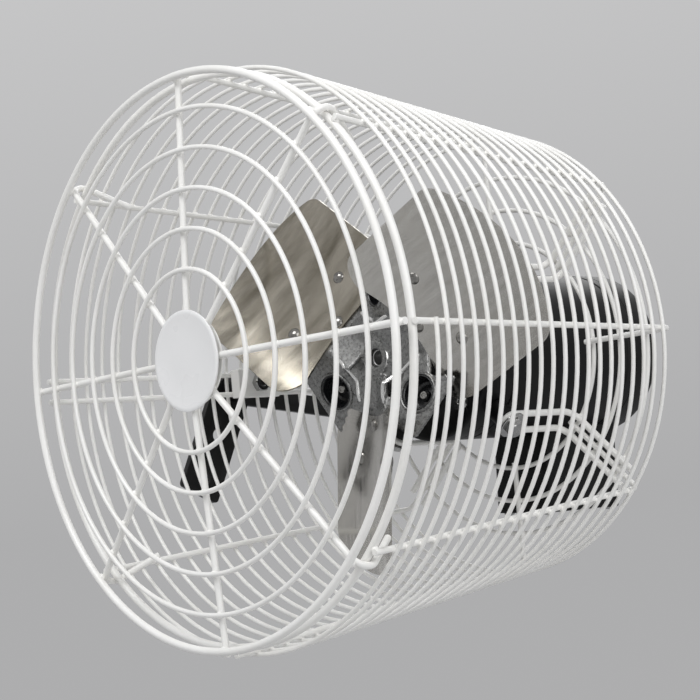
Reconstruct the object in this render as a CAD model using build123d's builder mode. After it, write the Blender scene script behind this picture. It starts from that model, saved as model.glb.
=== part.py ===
from build123d import *
import os
from math import atan2, cos, hypot, pi, radians, sin, sqrt, tan

# Air circulator fan in a round wire cage, held by a flat side arm.
# +Z is up, the fan blows toward -Y, and seen from the front +X is to the right.
# The origin is the centre of the lower fixing hole in the side arm.
# "Depth" is measured rearward from the centre plane of the grille's outer ring.
# "Turn" is an angle about the fan axis, anticlockwise from +X, seen from the front.

os.makedirs("parts", exist_ok=True)

# Fits
weld_gap = 0.1
running_fit = 0.08
moving_gap = 0.25
seat_gap = 0.1

# Front grille
grille_radius = 187.0
grille_ring_wire = 5.3
grille_spoke_wire = 4.6
grille_dish = 3.3
inner_ring_wire = 3.4
inner_ring_count = 5
inner_ring_first = 59.0
inner_ring_pitch = 26.2
spoke_inner_end = 20.0
spoke_overhang = 3.8
hook_arc_radius = 9.5
hook_tail_length = 31.0
hook_tail_lean = 37.0
hook_turns = (46.5, 133.5, 226.5, 313.5)
cap_radius = 33.0
cap_thickness = 1.6
cap_bevel = 0.8
centre_plate_radius = 29.0
centre_plate_thickness = 1.6

# Cage
cage_ring_radius = 186.0
cage_ring_wire = 5.3
cage_ring_depth = 14.8
cage_taper = 7.08
rod_wire = 4.0
rod_bend_radius = 6.5
rod_inner_end = 80.5
slanted_rod_turns = (43.4, 136.6, 223.4, 316.6)
level_rod_turns = (0.0, 90.0, 270.0)
mount_rod_spacing = 15.0
rear_depth = 291.5
rear_ring_wire = 3.4
rear_ring_count = 3
rear_ring_first = 84.5
rear_ring_pitch = 24.5

# Side winding
winding_wire = 3.0
winding_start_depth = 28.0
winding_start_turn = 2.0
winding_first_lead = 10.5
winding_pitch = 13.3
winding_turns = 19.5

# Motor
motor_turn = -3.0
motor_radius = 61.0
motor_front_depth = 209.5
motor_rear_depth = 397.5
motor_wall = 2.5
motor_rounding = 2.5
front_bell_length = 20.0
rear_bell_length = 24.0
bell_web = 5.0
bell_spigot = 4.0
through_bolt_radius = 48.0
through_bolt_size = 6.0
shaft_radius = 6.35
shaft_front_depth = 162.0
shaft_rear_inset = 5.0
bearing_radius = 14.3
bearing_width = 8.0
stator_length = 60.0
stator_bore_radius = 35.0
rotor_core_air_gap = 0.5

# Motor support arms
arm_wire = 4.8
arm_pair_spacing = 14.8
arm_radius = 77.8
arm_inset = 12.5
arm_bend_radius = 10.0
arm_outer_radius = 145.0
arm_bolt_size = 8.0
arm_washer_radius = 10.5
arm_washer_thickness = 1.6
arm_spacer_radius = 8.0

# Terminal box
box_width = 54.0
box_length = 82.0
box_bottom = 115.5
box_behind_rings = 5.3
box_wall = 3.0
box_corner = 4.0
lid_thickness = 3.0
lid_screw_size = 4.0
lid_screw_inset = 7.0
gland_radius = 11.0
gland_length = 16.0
gland_bore = 4.5

# Fan wheel
blade_turns = (22.9, 142.9, 262.9)
blade_tip_radius = 152.4
blade_front_half = 53.0
blade_rear_half = 61.0
blade_middle_depth = 158.2
blade_rear_edge_depth = 177.5
blade_front_edge_depth = 121.0
blade_shoulder = 133.0
blade_sheet = 1.6
blade_tip_corner = 10.0
root_waist = 41.0
root_horn = 32.0
root_horn_front = 38.0
root_horn_rear = 45.0
root_front_place = 50.0
root_rear_place = 60.0
spider_sheet = 3.2
spider_pad_half_width = 31.0
spider_root_half_width = 18.0
spider_pad_outer = 83.0
spider_pad_corner = 9.0
spider_hub_radius = 36.0
spider_depth = 161.0
spider_rib_width = 4.0
spider_rib_depth = 176.0
spider_rib_end = 41.0
spider_eye_radius = 13.0
spider_eye_place = 48.6
spider_eye_rim = 6.0
spider_eye_join = 40.0
boss_radius = 12.4
boss_front_depth = 158.5
boss_length = 30.0
rivet_radius = 2.4
rivet_head_radius = 4.6
rivet_head_height = 2.2
rivet_tail_radius = 3.8
rivet_tail_height = 1.5
rivet_middle = -2.4
rivet_pair_place = 71.5
rivet_pair_half_spacing = 23.5
rivet_inner_place = 47.5
set_screw_radius = 3.0
set_screw_depth = 180.0

# Side arm and its pivot
plate_standoff = 192.0
plate_thickness = 5.0
leg_width = 36.0
leg_length = 92.0
leg_lean = 27.0
leg_lower_hole = 78.0
leg_upper_hole = 42.0
leg_hole_radius = 5.25
bar_length = 128.0
bar_height = 14.8
bar_slope = 7.5
bar_start = 12.0
bar_drop = 4.0
plate_corner = 3.0
pivot_eye_radius = 12.0
pivot_size = 8.0
pivot_fit = 0.1
pivot_coil = 11
pivot_spacer_radius = 11.0
clamp_length = 40.0
clamp_height = 22.0
clamp_thickness = 5.0
pivot_washer_radius = 12.0
pivot_washer_thickness = 2.0

# Wire is drawn with flat sides, and its rings, turns and bends in short chords.
ring_chords = 38
small_ring_chords = 26
winding_chords = 28
bend_chords = 4
hook_chords = 6
ring_squareness = 0.9
rod_sides = 4
wire_sides = 6
body_sides = 30
bore_sides = 16
hardware_sides = 12
rivet_sides = 6

# Places that follow from the sizes above.
taper = radians(cage_taper)
cage_ring_half = cage_ring_wire * ring_squareness / 2
rod_front_depth = cage_ring_depth - cage_ring_half
rod_clearance = rod_wire / 2 / cos(taper) + 2 * cage_ring_half * tan(taper) + weld_gap
rod_front_radius = cage_ring_radius + cage_ring_half + rod_clearance


def rod_radius_at(depth):
    """Radius of a rod's centre line on its straight stretch."""
    return rod_front_radius - (depth - rod_front_depth) * tan(taper)


def winding_depth(turns):
    """Depth of the side winding after so many turns from its start."""
    if turns < 1:
        return winding_start_depth + winding_first_lead * turns
    return winding_start_depth + winding_first_lead + winding_pitch * (turns - 1)


def winding_radius_at(depth):
    """Radius at the winding's bends, so that its chords lie on the outside of the rods."""
    lift = (rod_wire + winding_wire) / 2 + weld_gap
    bend_depth = rear_depth - rod_bend_radius
    bend_radius = rod_radius_at(bend_depth) - rod_bend_radius / cos(taper)
    reach = rod_bend_radius + lift
    chord_inset = cos(pi / winding_chords)
    if depth < bend_depth + reach * sin(taper):
        return (rod_radius_at(depth) + lift / cos(taper)) / chord_inset
    return (bend_radius + sqrt(reach**2 - (depth - bend_depth) ** 2)) / chord_inset


pivot_depth = winding_depth(pivot_coil + 0.5 + (winding_start_turn + 180) / 360)
leg_along = Vector(-sin(radians(leg_lean)), -cos(radians(leg_lean)))
centre = Vector(
    plate_standoff + plate_thickness / 2,
    -pivot_depth - leg_lower_hole * leg_along.X,
    -leg_lower_hole * leg_along.Y,
)
fan_axis = Axis(centre, (0, 1, 0))


def outward(turn):
    return Vector(cos(radians(turn)), 0, sin(radians(turn)))


def front_view(depth, turn=0.0):
    """Plane square to the fan axis: local x to the right, local y up, facing forward."""
    return Plane(origin=centre + Vector(0, depth, 0), x_dir=outward(turn), z_dir=(0, -1, 0))


def side_cut(turn=0.0, aside=0.0):
    """Plane through the fan axis: local x is the radius and local y the depth."""
    across = Vector(-sin(radians(turn)), 0, cos(radians(turn)))
    return Plane(origin=centre + across * aside, x_dir=outward(turn), z_dir=across)


def outward_view(radius, depth, turn):
    """Plane square to a radius: local x is the depth, facing away from the fan axis."""
    place = centre + outward(turn) * radius + Vector(0, depth, 0)
    return Plane(origin=place, x_dir=(0, 1, 0), z_dir=outward(turn))


def start_of(path):
    return Plane(origin=path.line @ 0, z_dir=path.line % 0)


def bent_route(corners, bend_radius):
    """Radius and depth of a wire along its route, with each bend in short chords."""
    corners = [Vector(*corner) for corner in corners]
    points = [corners[0]]
    for before, corner, after in zip(corners, corners[1:], corners[2:]):
        back = (before - corner).normalized()
        ahead = (after - corner).normalized()
        half = radians(back.get_angle(ahead)) / 2
        swing = pi - 2 * half
        middle = corner + (back + ahead).normalized() * (bend_radius / sin(half))
        first = corner + back * (bend_radius / tan(half)) - middle
        last = corner + ahead * (bend_radius / tan(half)) - middle
        for step in range(bend_chords + 1):
            done = swing * step / bend_chords
            lean = first * sin(swing - done) + last * sin(done)
            points.append(middle + lean * (1 / sin(swing)))
    points.append(corners[-1])
    return [(point.X, point.Y) for point in points]


# Front grille: an outer ring and inner rings lie in front of eight dished spokes.
spoke_rim_depth = (grille_ring_wire * ring_squareness + grille_spoke_wire) / 2 + weld_gap


def spoke_depth(radius):
    return spoke_rim_depth - (grille_radius - radius) * tan(radians(grille_dish))


def wire_rings(wire, places, chords=ring_chords):
    """Closed rings of wire, one for each radius and depth."""
    half = wire * ring_squareness / 2
    with BuildPart() as rings:
        for radius, depth in places:
            with BuildSketch(front_view(depth - half)):
                RegularPolygon(radius + half, chords)
                RegularPolygon(radius - half, chords, mode=Mode.SUBTRACT)
            extrude(amount=-2 * half)
    return rings


inner_ring_radii = [
    inner_ring_first + index * inner_ring_pitch for index in range(inner_ring_count)
]
inner_ring_lift = (grille_spoke_wire + inner_ring_wire * ring_squareness) / 2 + weld_gap
grille_outer_ring = wire_rings(grille_ring_wire, [(grille_radius, 0)])
grille_inner_rings = wire_rings(
    inner_ring_wire,
    [(radius, spoke_depth(radius) - inner_ring_lift) for radius in inner_ring_radii],
    small_ring_chords,
)

with BuildPart() as grille_spokes:
    for turn in (0, 90, 180, 270):
        spoke_outer_end = grille_radius + spoke_overhang
        with BuildLine(side_cut(turn)) as spoke_path:
            Line(
                (spoke_inner_end, spoke_depth(spoke_inner_end)),
                (spoke_outer_end, spoke_depth(spoke_outer_end)),
            )
        with BuildSketch(start_of(spoke_path)):
            RegularPolygon(grille_spoke_wire / 2, wire_sides)
        sweep()

# The four slanted spokes end in hooks that reach round the cage's front ring.
dish = radians(grille_dish)
tail = radians(hook_tail_lean)
hook_inside = hook_arc_radius - grille_spoke_wire / 2
hook_centre_radius = cage_ring_radius + cage_ring_wire / 2 + seat_gap - hook_inside
hook_centre_depth = spoke_depth(hook_centre_radius) + hook_arc_radius / cos(dish)


def on_hook_arc(angle):
    return (
        hook_centre_radius + hook_arc_radius * cos(angle),
        hook_centre_depth + hook_arc_radius * sin(angle),
    )


hook_first = dish - pi / 2
hook_step = (tail - hook_first) / hook_chords
hook_bend = [on_hook_arc(hook_first + hook_step * index) for index in range(hook_chords + 1)]
hook_tail_end = (
    hook_bend[-1][0] - hook_tail_length * sin(tail),
    hook_bend[-1][1] + hook_tail_length * cos(tail),
)
with BuildPart() as grille_hook_spokes:
    for turn in hook_turns:
        with BuildLine(side_cut(turn)) as hook_path:
            Polyline((spoke_inner_end, spoke_depth(spoke_inner_end)), *hook_bend, hook_tail_end)
        with BuildSketch(start_of(hook_path)):
            RegularPolygon(grille_spoke_wire / 2, wire_sides)
        sweep(transition=Transition.RIGHT)

spoke_face = spoke_depth(spoke_inner_end) - grille_spoke_wire / 2 / cos(dish)
spoke_back = spoke_depth(centre_plate_radius) + grille_spoke_wire / 2 / cos(dish)
with BuildPart() as grille_centre_plate:
    with BuildSketch(front_view(spoke_back + seat_gap)):
        RegularPolygon(centre_plate_radius, body_sides)
    extrude(amount=-centre_plate_thickness)

with BuildPart() as grille_cap:
    with BuildSketch(front_view(spoke_face - seat_gap)):
        RegularPolygon(cap_radius, body_sides)
    extrude(amount=cap_thickness)
    chamfer(grille_cap.faces().sort_by(fan_axis)[0].edges(), cap_bevel)

# Cage: a front ring, straight rods that taper in toward the rear and bend into the
# rear face, a pair of rods that carry the pivot, and the rings of the rear face.
cage_front_ring = wire_rings(cage_ring_wire, [(cage_ring_radius, cage_ring_depth)])

rod_corners = (
    (rod_front_radius, rod_front_depth),
    (rod_radius_at(rear_depth), rear_depth),
    (rod_inner_end, rear_depth),
)
rod_route = bent_route(rod_corners, rod_bend_radius)
with BuildPart() as cage_rods:
    for turn in level_rod_turns + slanted_rod_turns:
        with BuildLine(side_cut(turn)) as rod_path:
            Polyline(*rod_route)
        with BuildSketch(start_of(rod_path)):
            RegularPolygon(rod_wire / 2, rod_sides)
        sweep(transition=Transition.RIGHT)

with BuildPart() as cage_mount_rods:
    for side in (-1, 1):
        with BuildLine(side_cut(180, side * mount_rod_spacing / 2)) as mount_rod_path:
            Polyline(*rod_route)
        with BuildSketch(start_of(mount_rod_path)):
            RegularPolygon(rod_wire / 2, rod_sides)
        sweep(transition=Transition.RIGHT)

rear_ring_half = rear_ring_wire * ring_squareness / 2
rear_ring_depth = rear_depth + rod_wire / 2 + rear_ring_half + weld_gap
rear_ring_radii = [rear_ring_first + index * rear_ring_pitch for index in range(rear_ring_count)]
cage_rear_rings = wire_rings(
    rear_ring_wire, [(radius, rear_ring_depth) for radius in rear_ring_radii], small_ring_chords
)


# Side winding: one wire in a tapering helix, clockwise from the front as it runs back.
def winding_point(turns):
    depth = winding_depth(turns)
    place = outward(winding_start_turn - 360 * turns) * winding_radius_at(depth)
    return centre + place + Vector(0, depth, 0)


def winding_tangent(turns):
    step = 0.01
    return (winding_point(turns + step) - winding_point(turns - step)).normalized()


with BuildPart() as cage_winding:
    chord_count = round(winding_turns * winding_chords)
    with BuildLine() as winding_path:
        bends = [winding_point(index / winding_chords) for index in range(chord_count + 1)]
        first_end = bends[0] - winding_tangent(0) * winding_wire
        last_end = bends[-1] + winding_tangent(winding_turns) * winding_wire
        Polyline(first_end, *bends, last_end)
    with BuildSketch(start_of(winding_path)):
        RegularPolygon(winding_wire / 2, rod_sides)
    sweep(transition=Transition.RIGHT)

coil_gap = min(
    (bends[index + winding_chords + shift] - bends[index]).length - winding_wire
    for index in range(chord_count - winding_chords - 1)
    for shift in (-2, -1, 0, 1, 2)
)
print("least gap of the winding to itself, mm:", round(coil_gap, 2))

# Motor: a rolled shell between two cast bells, with the shaft on two bearings.
shell_front = motor_front_depth + front_bell_length
shell_rear = motor_rear_depth - rear_bell_length
shell_bore = motor_radius - motor_wall
spigot_radius = shell_bore - seat_gap
bearing_seat = bearing_radius + seat_gap
shaft_hole = shaft_radius + running_fit * 4

with BuildPart() as motor_shell:
    with BuildSketch(front_view(shell_front + seat_gap)):
        RegularPolygon(motor_radius, body_sides)
        RegularPolygon(shell_bore, body_sides, mode=Mode.SUBTRACT)
    extrude(amount=-(shell_rear - shell_front - 2 * seat_gap))


def end_bell(outer_depth, joint_depth):
    """Cast bell that closes one end of the shell and carries a bearing."""
    inward = 1 if joint_depth > outer_depth else -1
    length = abs(joint_depth - outer_depth)
    with BuildPart() as bell:
        with BuildSketch(front_view(outer_depth)):
            RegularPolygon(motor_radius, body_sides)
        extrude(amount=-inward * length)
        face = bell.faces().sort_by(fan_axis)[0 if inward > 0 else -1]
        chamfer(face.edges(), motor_rounding)
        with BuildSketch(front_view(joint_depth)):
            RegularPolygon(spigot_radius, body_sides)
        extrude(amount=-inward * bell_spigot)
        with BuildSketch(front_view(outer_depth + inward * bell_web)):
            RegularPolygon(spigot_radius - 2 * motor_rounding, body_sides)
            RegularPolygon(bearing_seat + bell_web, hardware_sides, mode=Mode.SUBTRACT)
        extrude(amount=-inward * length, mode=Mode.SUBTRACT)
        with BuildSketch(front_view(outer_depth + inward * bell_web)):
            RegularPolygon(bearing_seat, bore_sides, major_radius=False)
        extrude(amount=-inward * length, mode=Mode.SUBTRACT)
        with BuildSketch(front_view(outer_depth)):
            RegularPolygon(shaft_hole, bore_sides, major_radius=False)
        extrude(amount=-inward * bell_web, mode=Mode.SUBTRACT)
    return bell


motor_front_bell = end_bell(motor_front_depth, shell_front)
motor_rear_bell = end_bell(motor_rear_depth, shell_rear)

front_bearing_depth = motor_front_depth + bell_web
rear_bearing_depth = motor_rear_depth - bell_web - bearing_width
shaft_rear_depth = motor_rear_depth - shaft_rear_inset


def shaft_bore():
    """Cuts the room for the shaft out of the sketch that is being drawn."""
    RegularPolygon(shaft_radius + running_fit, bore_sides, major_radius=False, mode=Mode.SUBTRACT)


def ball_bearing(depth):
    """Sealed bearing, drawn as one ring about the shaft."""
    with BuildPart() as bearing:
        with BuildSketch(front_view(depth + seat_gap)):
            RegularPolygon(bearing_radius, bore_sides)
            shaft_bore()
        extrude(amount=-(bearing_width - seat_gap))
    return bearing


motor_front_bearing = ball_bearing(front_bearing_depth)
motor_rear_bearing = ball_bearing(rear_bearing_depth - seat_gap)

stator_depth = (shell_front + shell_rear - stator_length) / 2
with BuildPart() as motor_stator:
    with BuildSketch(front_view(stator_depth)):
        RegularPolygon(shell_bore - seat_gap, body_sides)
        RegularPolygon(stator_bore_radius, bore_sides, major_radius=False, mode=Mode.SUBTRACT)
    extrude(amount=-stator_length)

with BuildPart() as motor_shaft:
    with BuildSketch(front_view(shaft_front_depth)):
        Circle(shaft_radius)
    extrude(amount=-(shaft_rear_depth - shaft_front_depth))

with BuildPart() as motor_rotor:
    with BuildSketch(front_view(stator_depth)):
        RegularPolygon(stator_bore_radius - rotor_core_air_gap, bore_sides)
        shaft_bore()
    extrude(amount=-stator_length)

with BuildPart() as motor_through_bolts:
    with BuildSketch(front_view(motor_front_depth - seat_gap, motor_turn + 45)):
        with PolarLocations(through_bolt_radius, 4):
            RegularPolygon(through_bolt_size, 6, major_radius=False)
    extrude(amount=through_bolt_size * 0.65)

# Motor supports: four hairpins of wire, bolted to the motor and welded to the rear rings.
# Each one straddles a slanted rod of the cage's rear face.
arm_depth = rear_ring_depth - rear_ring_half - arm_wire / 2 - weld_gap
arm_eye_radius = arm_pair_spacing / 2
arm_eye_depth = motor_front_depth + arm_inset + arm_eye_radius
arm_corners = ((arm_outer_radius, arm_depth), (arm_radius, arm_depth), (arm_radius, arm_eye_depth))
arm_leg = bent_route(arm_corners, arm_bend_radius)


def support_arm(turn):
    """Hairpin with its closed end at the motor and both ends out on the rear rings."""
    route = [(radius, depth, -arm_eye_radius) for radius, depth in arm_leg]
    for step in range(1, 2 * bend_chords):
        swing = pi * step / (2 * bend_chords)
        eye_depth = arm_eye_depth - arm_eye_radius * sin(swing)
        route.append((arm_radius, eye_depth, -arm_eye_radius * cos(swing)))
    route += [(radius, depth, arm_eye_radius) for radius, depth in reversed(arm_leg)]
    plane = side_cut(turn)
    with BuildPart() as arm:
        with BuildLine() as path:
            Polyline(*[plane.from_local_coords(point) for point in route])
        with BuildSketch(start_of(path)):
            RegularPolygon(arm_wire / 2, wire_sides)
        sweep(transition=Transition.RIGHT)
    return arm


upper_right_arm, upper_left_arm, lower_left_arm, lower_right_arm = [
    support_arm(turn) for turn in slanted_rod_turns
]

arm_bolt_hole = arm_bolt_size / 2 + seat_gap
arm_top = arm_radius + arm_wire / 2 + seat_gap
arm_under = arm_radius - arm_wire / 2 - seat_gap
with BuildPart() as motor_support_spacers:
    for turn in slanted_rod_turns:
        with BuildSketch(outward_view(motor_radius + seat_gap, arm_eye_depth, turn)):
            RegularPolygon(arm_spacer_radius, hardware_sides)
            RegularPolygon(arm_bolt_hole, hardware_sides, mode=Mode.SUBTRACT)
        extrude(amount=arm_under - motor_radius - seat_gap)

with BuildPart() as motor_support_washers:
    for turn in slanted_rod_turns:
        with BuildSketch(outward_view(arm_top, arm_eye_depth, turn)):
            RegularPolygon(arm_washer_radius, hardware_sides)
            RegularPolygon(arm_bolt_hole, hardware_sides, mode=Mode.SUBTRACT)
        extrude(amount=arm_washer_thickness)

arm_bolt_seat = arm_top + arm_washer_thickness + seat_gap
with BuildPart() as motor_support_bolts:
    for turn in slanted_rod_turns:
        with BuildSketch(outward_view(motor_radius + seat_gap, arm_eye_depth, turn)):
            RegularPolygon(arm_bolt_size / 2, hardware_sides)
        extrude(amount=arm_bolt_seat - motor_radius)
        with BuildSketch(outward_view(arm_bolt_seat, arm_eye_depth, turn)):
            RegularPolygon(arm_bolt_size * 0.8, 6, major_radius=False)
        extrude(amount=arm_bolt_size * 0.65)

# Terminal box: hangs under the motor, behind the cage's rear rings, open at its lid.
box_front = rear_ring_depth + rear_ring_half + box_behind_rings
box_rear = box_front + box_length
box_floor = front_view(box_front, motor_turn)
with BuildPart() as terminal_box:
    with BuildSketch(box_floor):
        with Locations((0, -box_bottom)):
            Rectangle(box_width, box_bottom - motor_radius * 0.8, align=(Align.CENTER, Align.MIN))
    extrude(amount=-box_length)
    upright = terminal_box.edges().filter_by(Axis(centre, box_floor.y_dir))
    fillet(upright, box_corner)
    with BuildSketch(front_view(box_front + box_wall, motor_turn)):
        with Locations((0, -box_bottom)):
            Rectangle(
                box_width - 2 * box_wall,
                box_bottom - motor_radius - box_wall,
                align=(Align.CENTER, Align.MIN),
            )
    extrude(amount=-(box_length - 2 * box_wall), mode=Mode.SUBTRACT)
    with BuildSketch(front_view(box_front, motor_turn)):
        Circle(motor_radius + seat_gap)
    extrude(amount=-box_length, mode=Mode.SUBTRACT)
    gland_place = (0, -(box_bottom + motor_radius) / 2)
    with BuildSketch(front_view(box_rear, motor_turn)):
        with Locations(gland_place):
            RegularPolygon(gland_bore, hardware_sides)
    extrude(amount=box_wall, mode=Mode.SUBTRACT)

lid_plane = Plane(
    origin=box_floor.from_local_coords((0, -box_bottom - seat_gap, -box_length / 2)),
    x_dir=box_floor.x_dir,
    z_dir=-box_floor.y_dir,
)
screw_spots = (box_width / 2 - lid_screw_inset, box_length / 2 - lid_screw_inset)
with BuildPart() as terminal_box_lid:
    with BuildSketch(lid_plane):
        RectangleRounded(box_width, box_length, box_corner)
    extrude(amount=lid_thickness)

with BuildPart() as lid_screws:
    with BuildSketch(lid_plane.offset(lid_thickness + seat_gap)):
        with GridLocations(screw_spots[0] * 2, screw_spots[1] * 2, 2, 2):
            RegularPolygon(lid_screw_size, rivet_sides)
    extrude(amount=lid_screw_size * 0.5)

with BuildPart() as cable_gland:
    with BuildSketch(front_view(box_rear + seat_gap, motor_turn)):
        with Locations(gland_place):
            RegularPolygon(gland_radius, 6)
            RegularPolygon(gland_bore, hardware_sides, mode=Mode.SUBTRACT)
    extrude(amount=-gland_length / 2)
    with BuildSketch(front_view(box_rear + seat_gap + gland_length / 2, motor_turn)):
        with Locations(gland_place):
            RegularPolygon(gland_radius * 0.78, hardware_sides)
            RegularPolygon(gland_bore, hardware_sides, mode=Mode.SUBTRACT)
    extrude(amount=-gland_length / 2)


# Fan wheel: three curved blades riveted to the front of a ribbed spider.
curve_front = (blade_front_half, blade_front_edge_depth)
curve_middle = (0, blade_middle_depth)
curve_rear = (-blade_rear_half, blade_rear_edge_depth)


def circle_through(a, b, c):
    """Centre and radius of the circle through three points."""
    span = 2 * (a[0] * (b[1] - c[1]) + b[0] * (c[1] - a[1]) + c[0] * (a[1] - b[1]))
    squares = [point[0] ** 2 + point[1] ** 2 for point in (a, b, c)]
    x = squares[0] * (b[1] - c[1]) + squares[1] * (c[1] - a[1]) + squares[2] * (a[1] - b[1])
    y = squares[0] * (c[0] - b[0]) + squares[1] * (a[0] - c[0]) + squares[2] * (b[0] - a[0])
    middle = (x / span, y / span)
    return middle, hypot(a[0] - middle[0], a[1] - middle[1])


curve_centre, curve_radius = circle_through(curve_front, curve_middle, curve_rear)


def on_curve(lift, across):
    """Point on the blade's curve, lifted rearward from its front face."""
    reach = sqrt((curve_radius + lift) ** 2 - (across - curve_centre[0]) ** 2)
    return across, curve_centre[1] + reach


def sheet_outline(lift, thickness, first, last):
    """Closed outline of a curved sheet, seen along the blade from its tip."""
    middle = (first + last) / 2
    back = lift + thickness
    ThreePointArc(on_curve(lift, first), on_curve(lift, middle), on_curve(lift, last))
    Line(on_curve(lift, last), on_curve(back, last))
    ThreePointArc(on_curve(back, last), on_curve(back, middle), on_curve(back, first))
    Line(on_curve(back, first), on_curve(lift, first))


def tip_view(turn):
    """Plane across a blade: local x is across the blade and local y the depth."""
    across = side_cut(turn).z_dir
    return Plane(origin=centre, x_dir=across, z_dir=-outward(turn))


def rivet_view(turn, place, across):
    """Plane on a blade's front face at a rivet, facing forward out of the sheet."""
    depth = on_curve(0, across)[1]
    lean = atan2(across - curve_centre[0], depth - curve_centre[1])
    rearward = tip_view(turn).x_dir * sin(lean) + Vector(0, cos(lean), 0)
    place_on_face = side_cut(turn).from_local_coords((place, depth, across))
    return Plane(origin=place_on_face, x_dir=outward(turn), z_dir=-rearward)


rivet_spots = (
    (rivet_inner_place, rivet_middle),
    (rivet_pair_place, rivet_middle - rivet_pair_half_spacing),
    (rivet_pair_place, rivet_middle + rivet_pair_half_spacing),
)
rivet_hole_radius = rivet_radius + seat_gap
pad_lift = blade_sheet + seat_gap
outline_depth = blade_rear_edge_depth + 3 * spider_sheet
outline_reach = outline_depth - blade_front_edge_depth + 6 * spider_sheet


def blade_outline():
    """Outline of a blade from the front: local x is the radius, local y across the blade."""
    leading, trailing = -blade_rear_half, blade_front_half
    with BuildSketch() as outline:
        with BuildLine():
            Line((root_rear_place, leading), (blade_shoulder, leading))
            ThreePointArc(
                (blade_shoulder, leading),
                (blade_tip_radius, (leading + trailing) / 2),
                (blade_shoulder, trailing),
            )
            Line((blade_shoulder, trailing), (root_front_place, trailing))
            ThreePointArc(
                (root_front_place, trailing),
                ((root_front_place + 2 * root_horn) / 3, (2 * trailing + root_horn_front) / 3),
                (root_horn, root_horn_front),
            )
            ThreePointArc(
                (root_horn, root_horn_front), (root_waist, 0), (root_horn, -root_horn_rear)
            )
            ThreePointArc(
                (root_horn, -root_horn_rear),
                ((root_rear_place + 2 * root_horn) / 3, (2 * leading - root_horn_rear) / 3),
                (root_rear_place, leading),
            )
        make_face()
        fillet(outline.vertices().sort_by(Axis.X)[-2:], blade_tip_corner)
    return outline


def blade_sheet_part(turn, lift, thickness, margin=0.0):
    """Curved sheet over the blade's outline, at some lift behind its front face."""
    outline = blade_outline()
    with BuildPart() as sheet:
        with BuildSketch(tip_view(turn)):
            with BuildLine():
                sheet_outline(lift, thickness, -blade_rear_half - margin, blade_front_half + margin)
            make_face()
        extrude(amount=-blade_tip_radius - margin)
        with BuildSketch(front_view(outline_depth, turn)):
            add(outline.sketch)
            if margin > 0:
                offset(amount=margin)
        extrude(amount=outline_reach, mode=Mode.INTERSECT)
    return sheet


def riveted_blade(turn):
    blank = blade_sheet_part(turn, 0, blade_sheet)
    with BuildPart() as blade:
        add(blank.part)
        for place, across in rivet_spots:
            with BuildSketch(rivet_view(turn, place, across)):
                RegularPolygon(rivet_hole_radius, rivet_sides)
            extrude(amount=-2 * blade_sheet, both=True, mode=Mode.SUBTRACT)
    return blade


right_blade, left_blade, lower_blade = [riveted_blade(turn) for turn in blade_turns]


def spider_pad(turn):
    """Pitched pad behind a blade, narrower toward the hub."""
    with BuildPart() as pad:
        with BuildSketch(tip_view(turn)):
            with BuildLine():
                sheet_outline(
                    pad_lift, spider_sheet, -spider_pad_half_width, spider_pad_half_width
                )
            make_face()
        extrude(amount=-spider_pad_outer)
        with BuildSketch(front_view(outline_depth, turn)) as outline:
            with BuildLine():
                Polyline(
                    (boss_radius, -spider_root_half_width),
                    (rivet_inner_place, -spider_root_half_width),
                    (rivet_pair_place - spider_pad_corner, -spider_pad_half_width),
                    (spider_pad_outer, -spider_pad_half_width),
                    (spider_pad_outer, spider_pad_half_width),
                    (rivet_pair_place - spider_pad_corner, spider_pad_half_width),
                    (rivet_inner_place, spider_root_half_width),
                    (boss_radius, spider_root_half_width),
                    close=True,
                )
            make_face()
            fillet(outline.vertices().sort_by(Axis.X)[-2:], spider_pad_corner)
        extrude(amount=outline_reach, mode=Mode.INTERSECT)
    return pad


pads = [spider_pad(turn) for turn in blade_turns]
room_depth = 2 * spider_sheet + blade_sheet + seat_gap / 2
blade_rooms = [
    blade_sheet_part(turn, -2 * spider_sheet, room_depth, seat_gap) for turn in blade_turns
]

# Between the pads the spider has slanted webs, each with a round eye.
eye_lean = atan2(spider_root_half_width, spider_eye_join)
eye_half_width = hypot(spider_root_half_width, spider_eye_join) * sin(pi / 3 - eye_lean)
web_middle = pad_lift + spider_sheet / 2
eye_front_depth = on_curve(web_middle, spider_root_half_width)[1]
eye_rear_depth = on_curve(web_middle, -spider_root_half_width)[1]
eye_tilt = atan2(eye_rear_depth - eye_front_depth, 2 * eye_half_width)


def eye_view(turn):
    """Plane of the slanted web that follows a blade, facing forward."""
    eye_turn = turn + 60
    middle = side_cut(eye_turn).from_local_coords(
        (spider_eye_place, (eye_front_depth + eye_rear_depth) / 2, 0)
    )
    across = side_cut(eye_turn).z_dir
    facing = across * sin(eye_tilt) - Vector(0, cos(eye_tilt), 0)
    return Plane(origin=middle, x_dir=outward(eye_turn), z_dir=facing)


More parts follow.
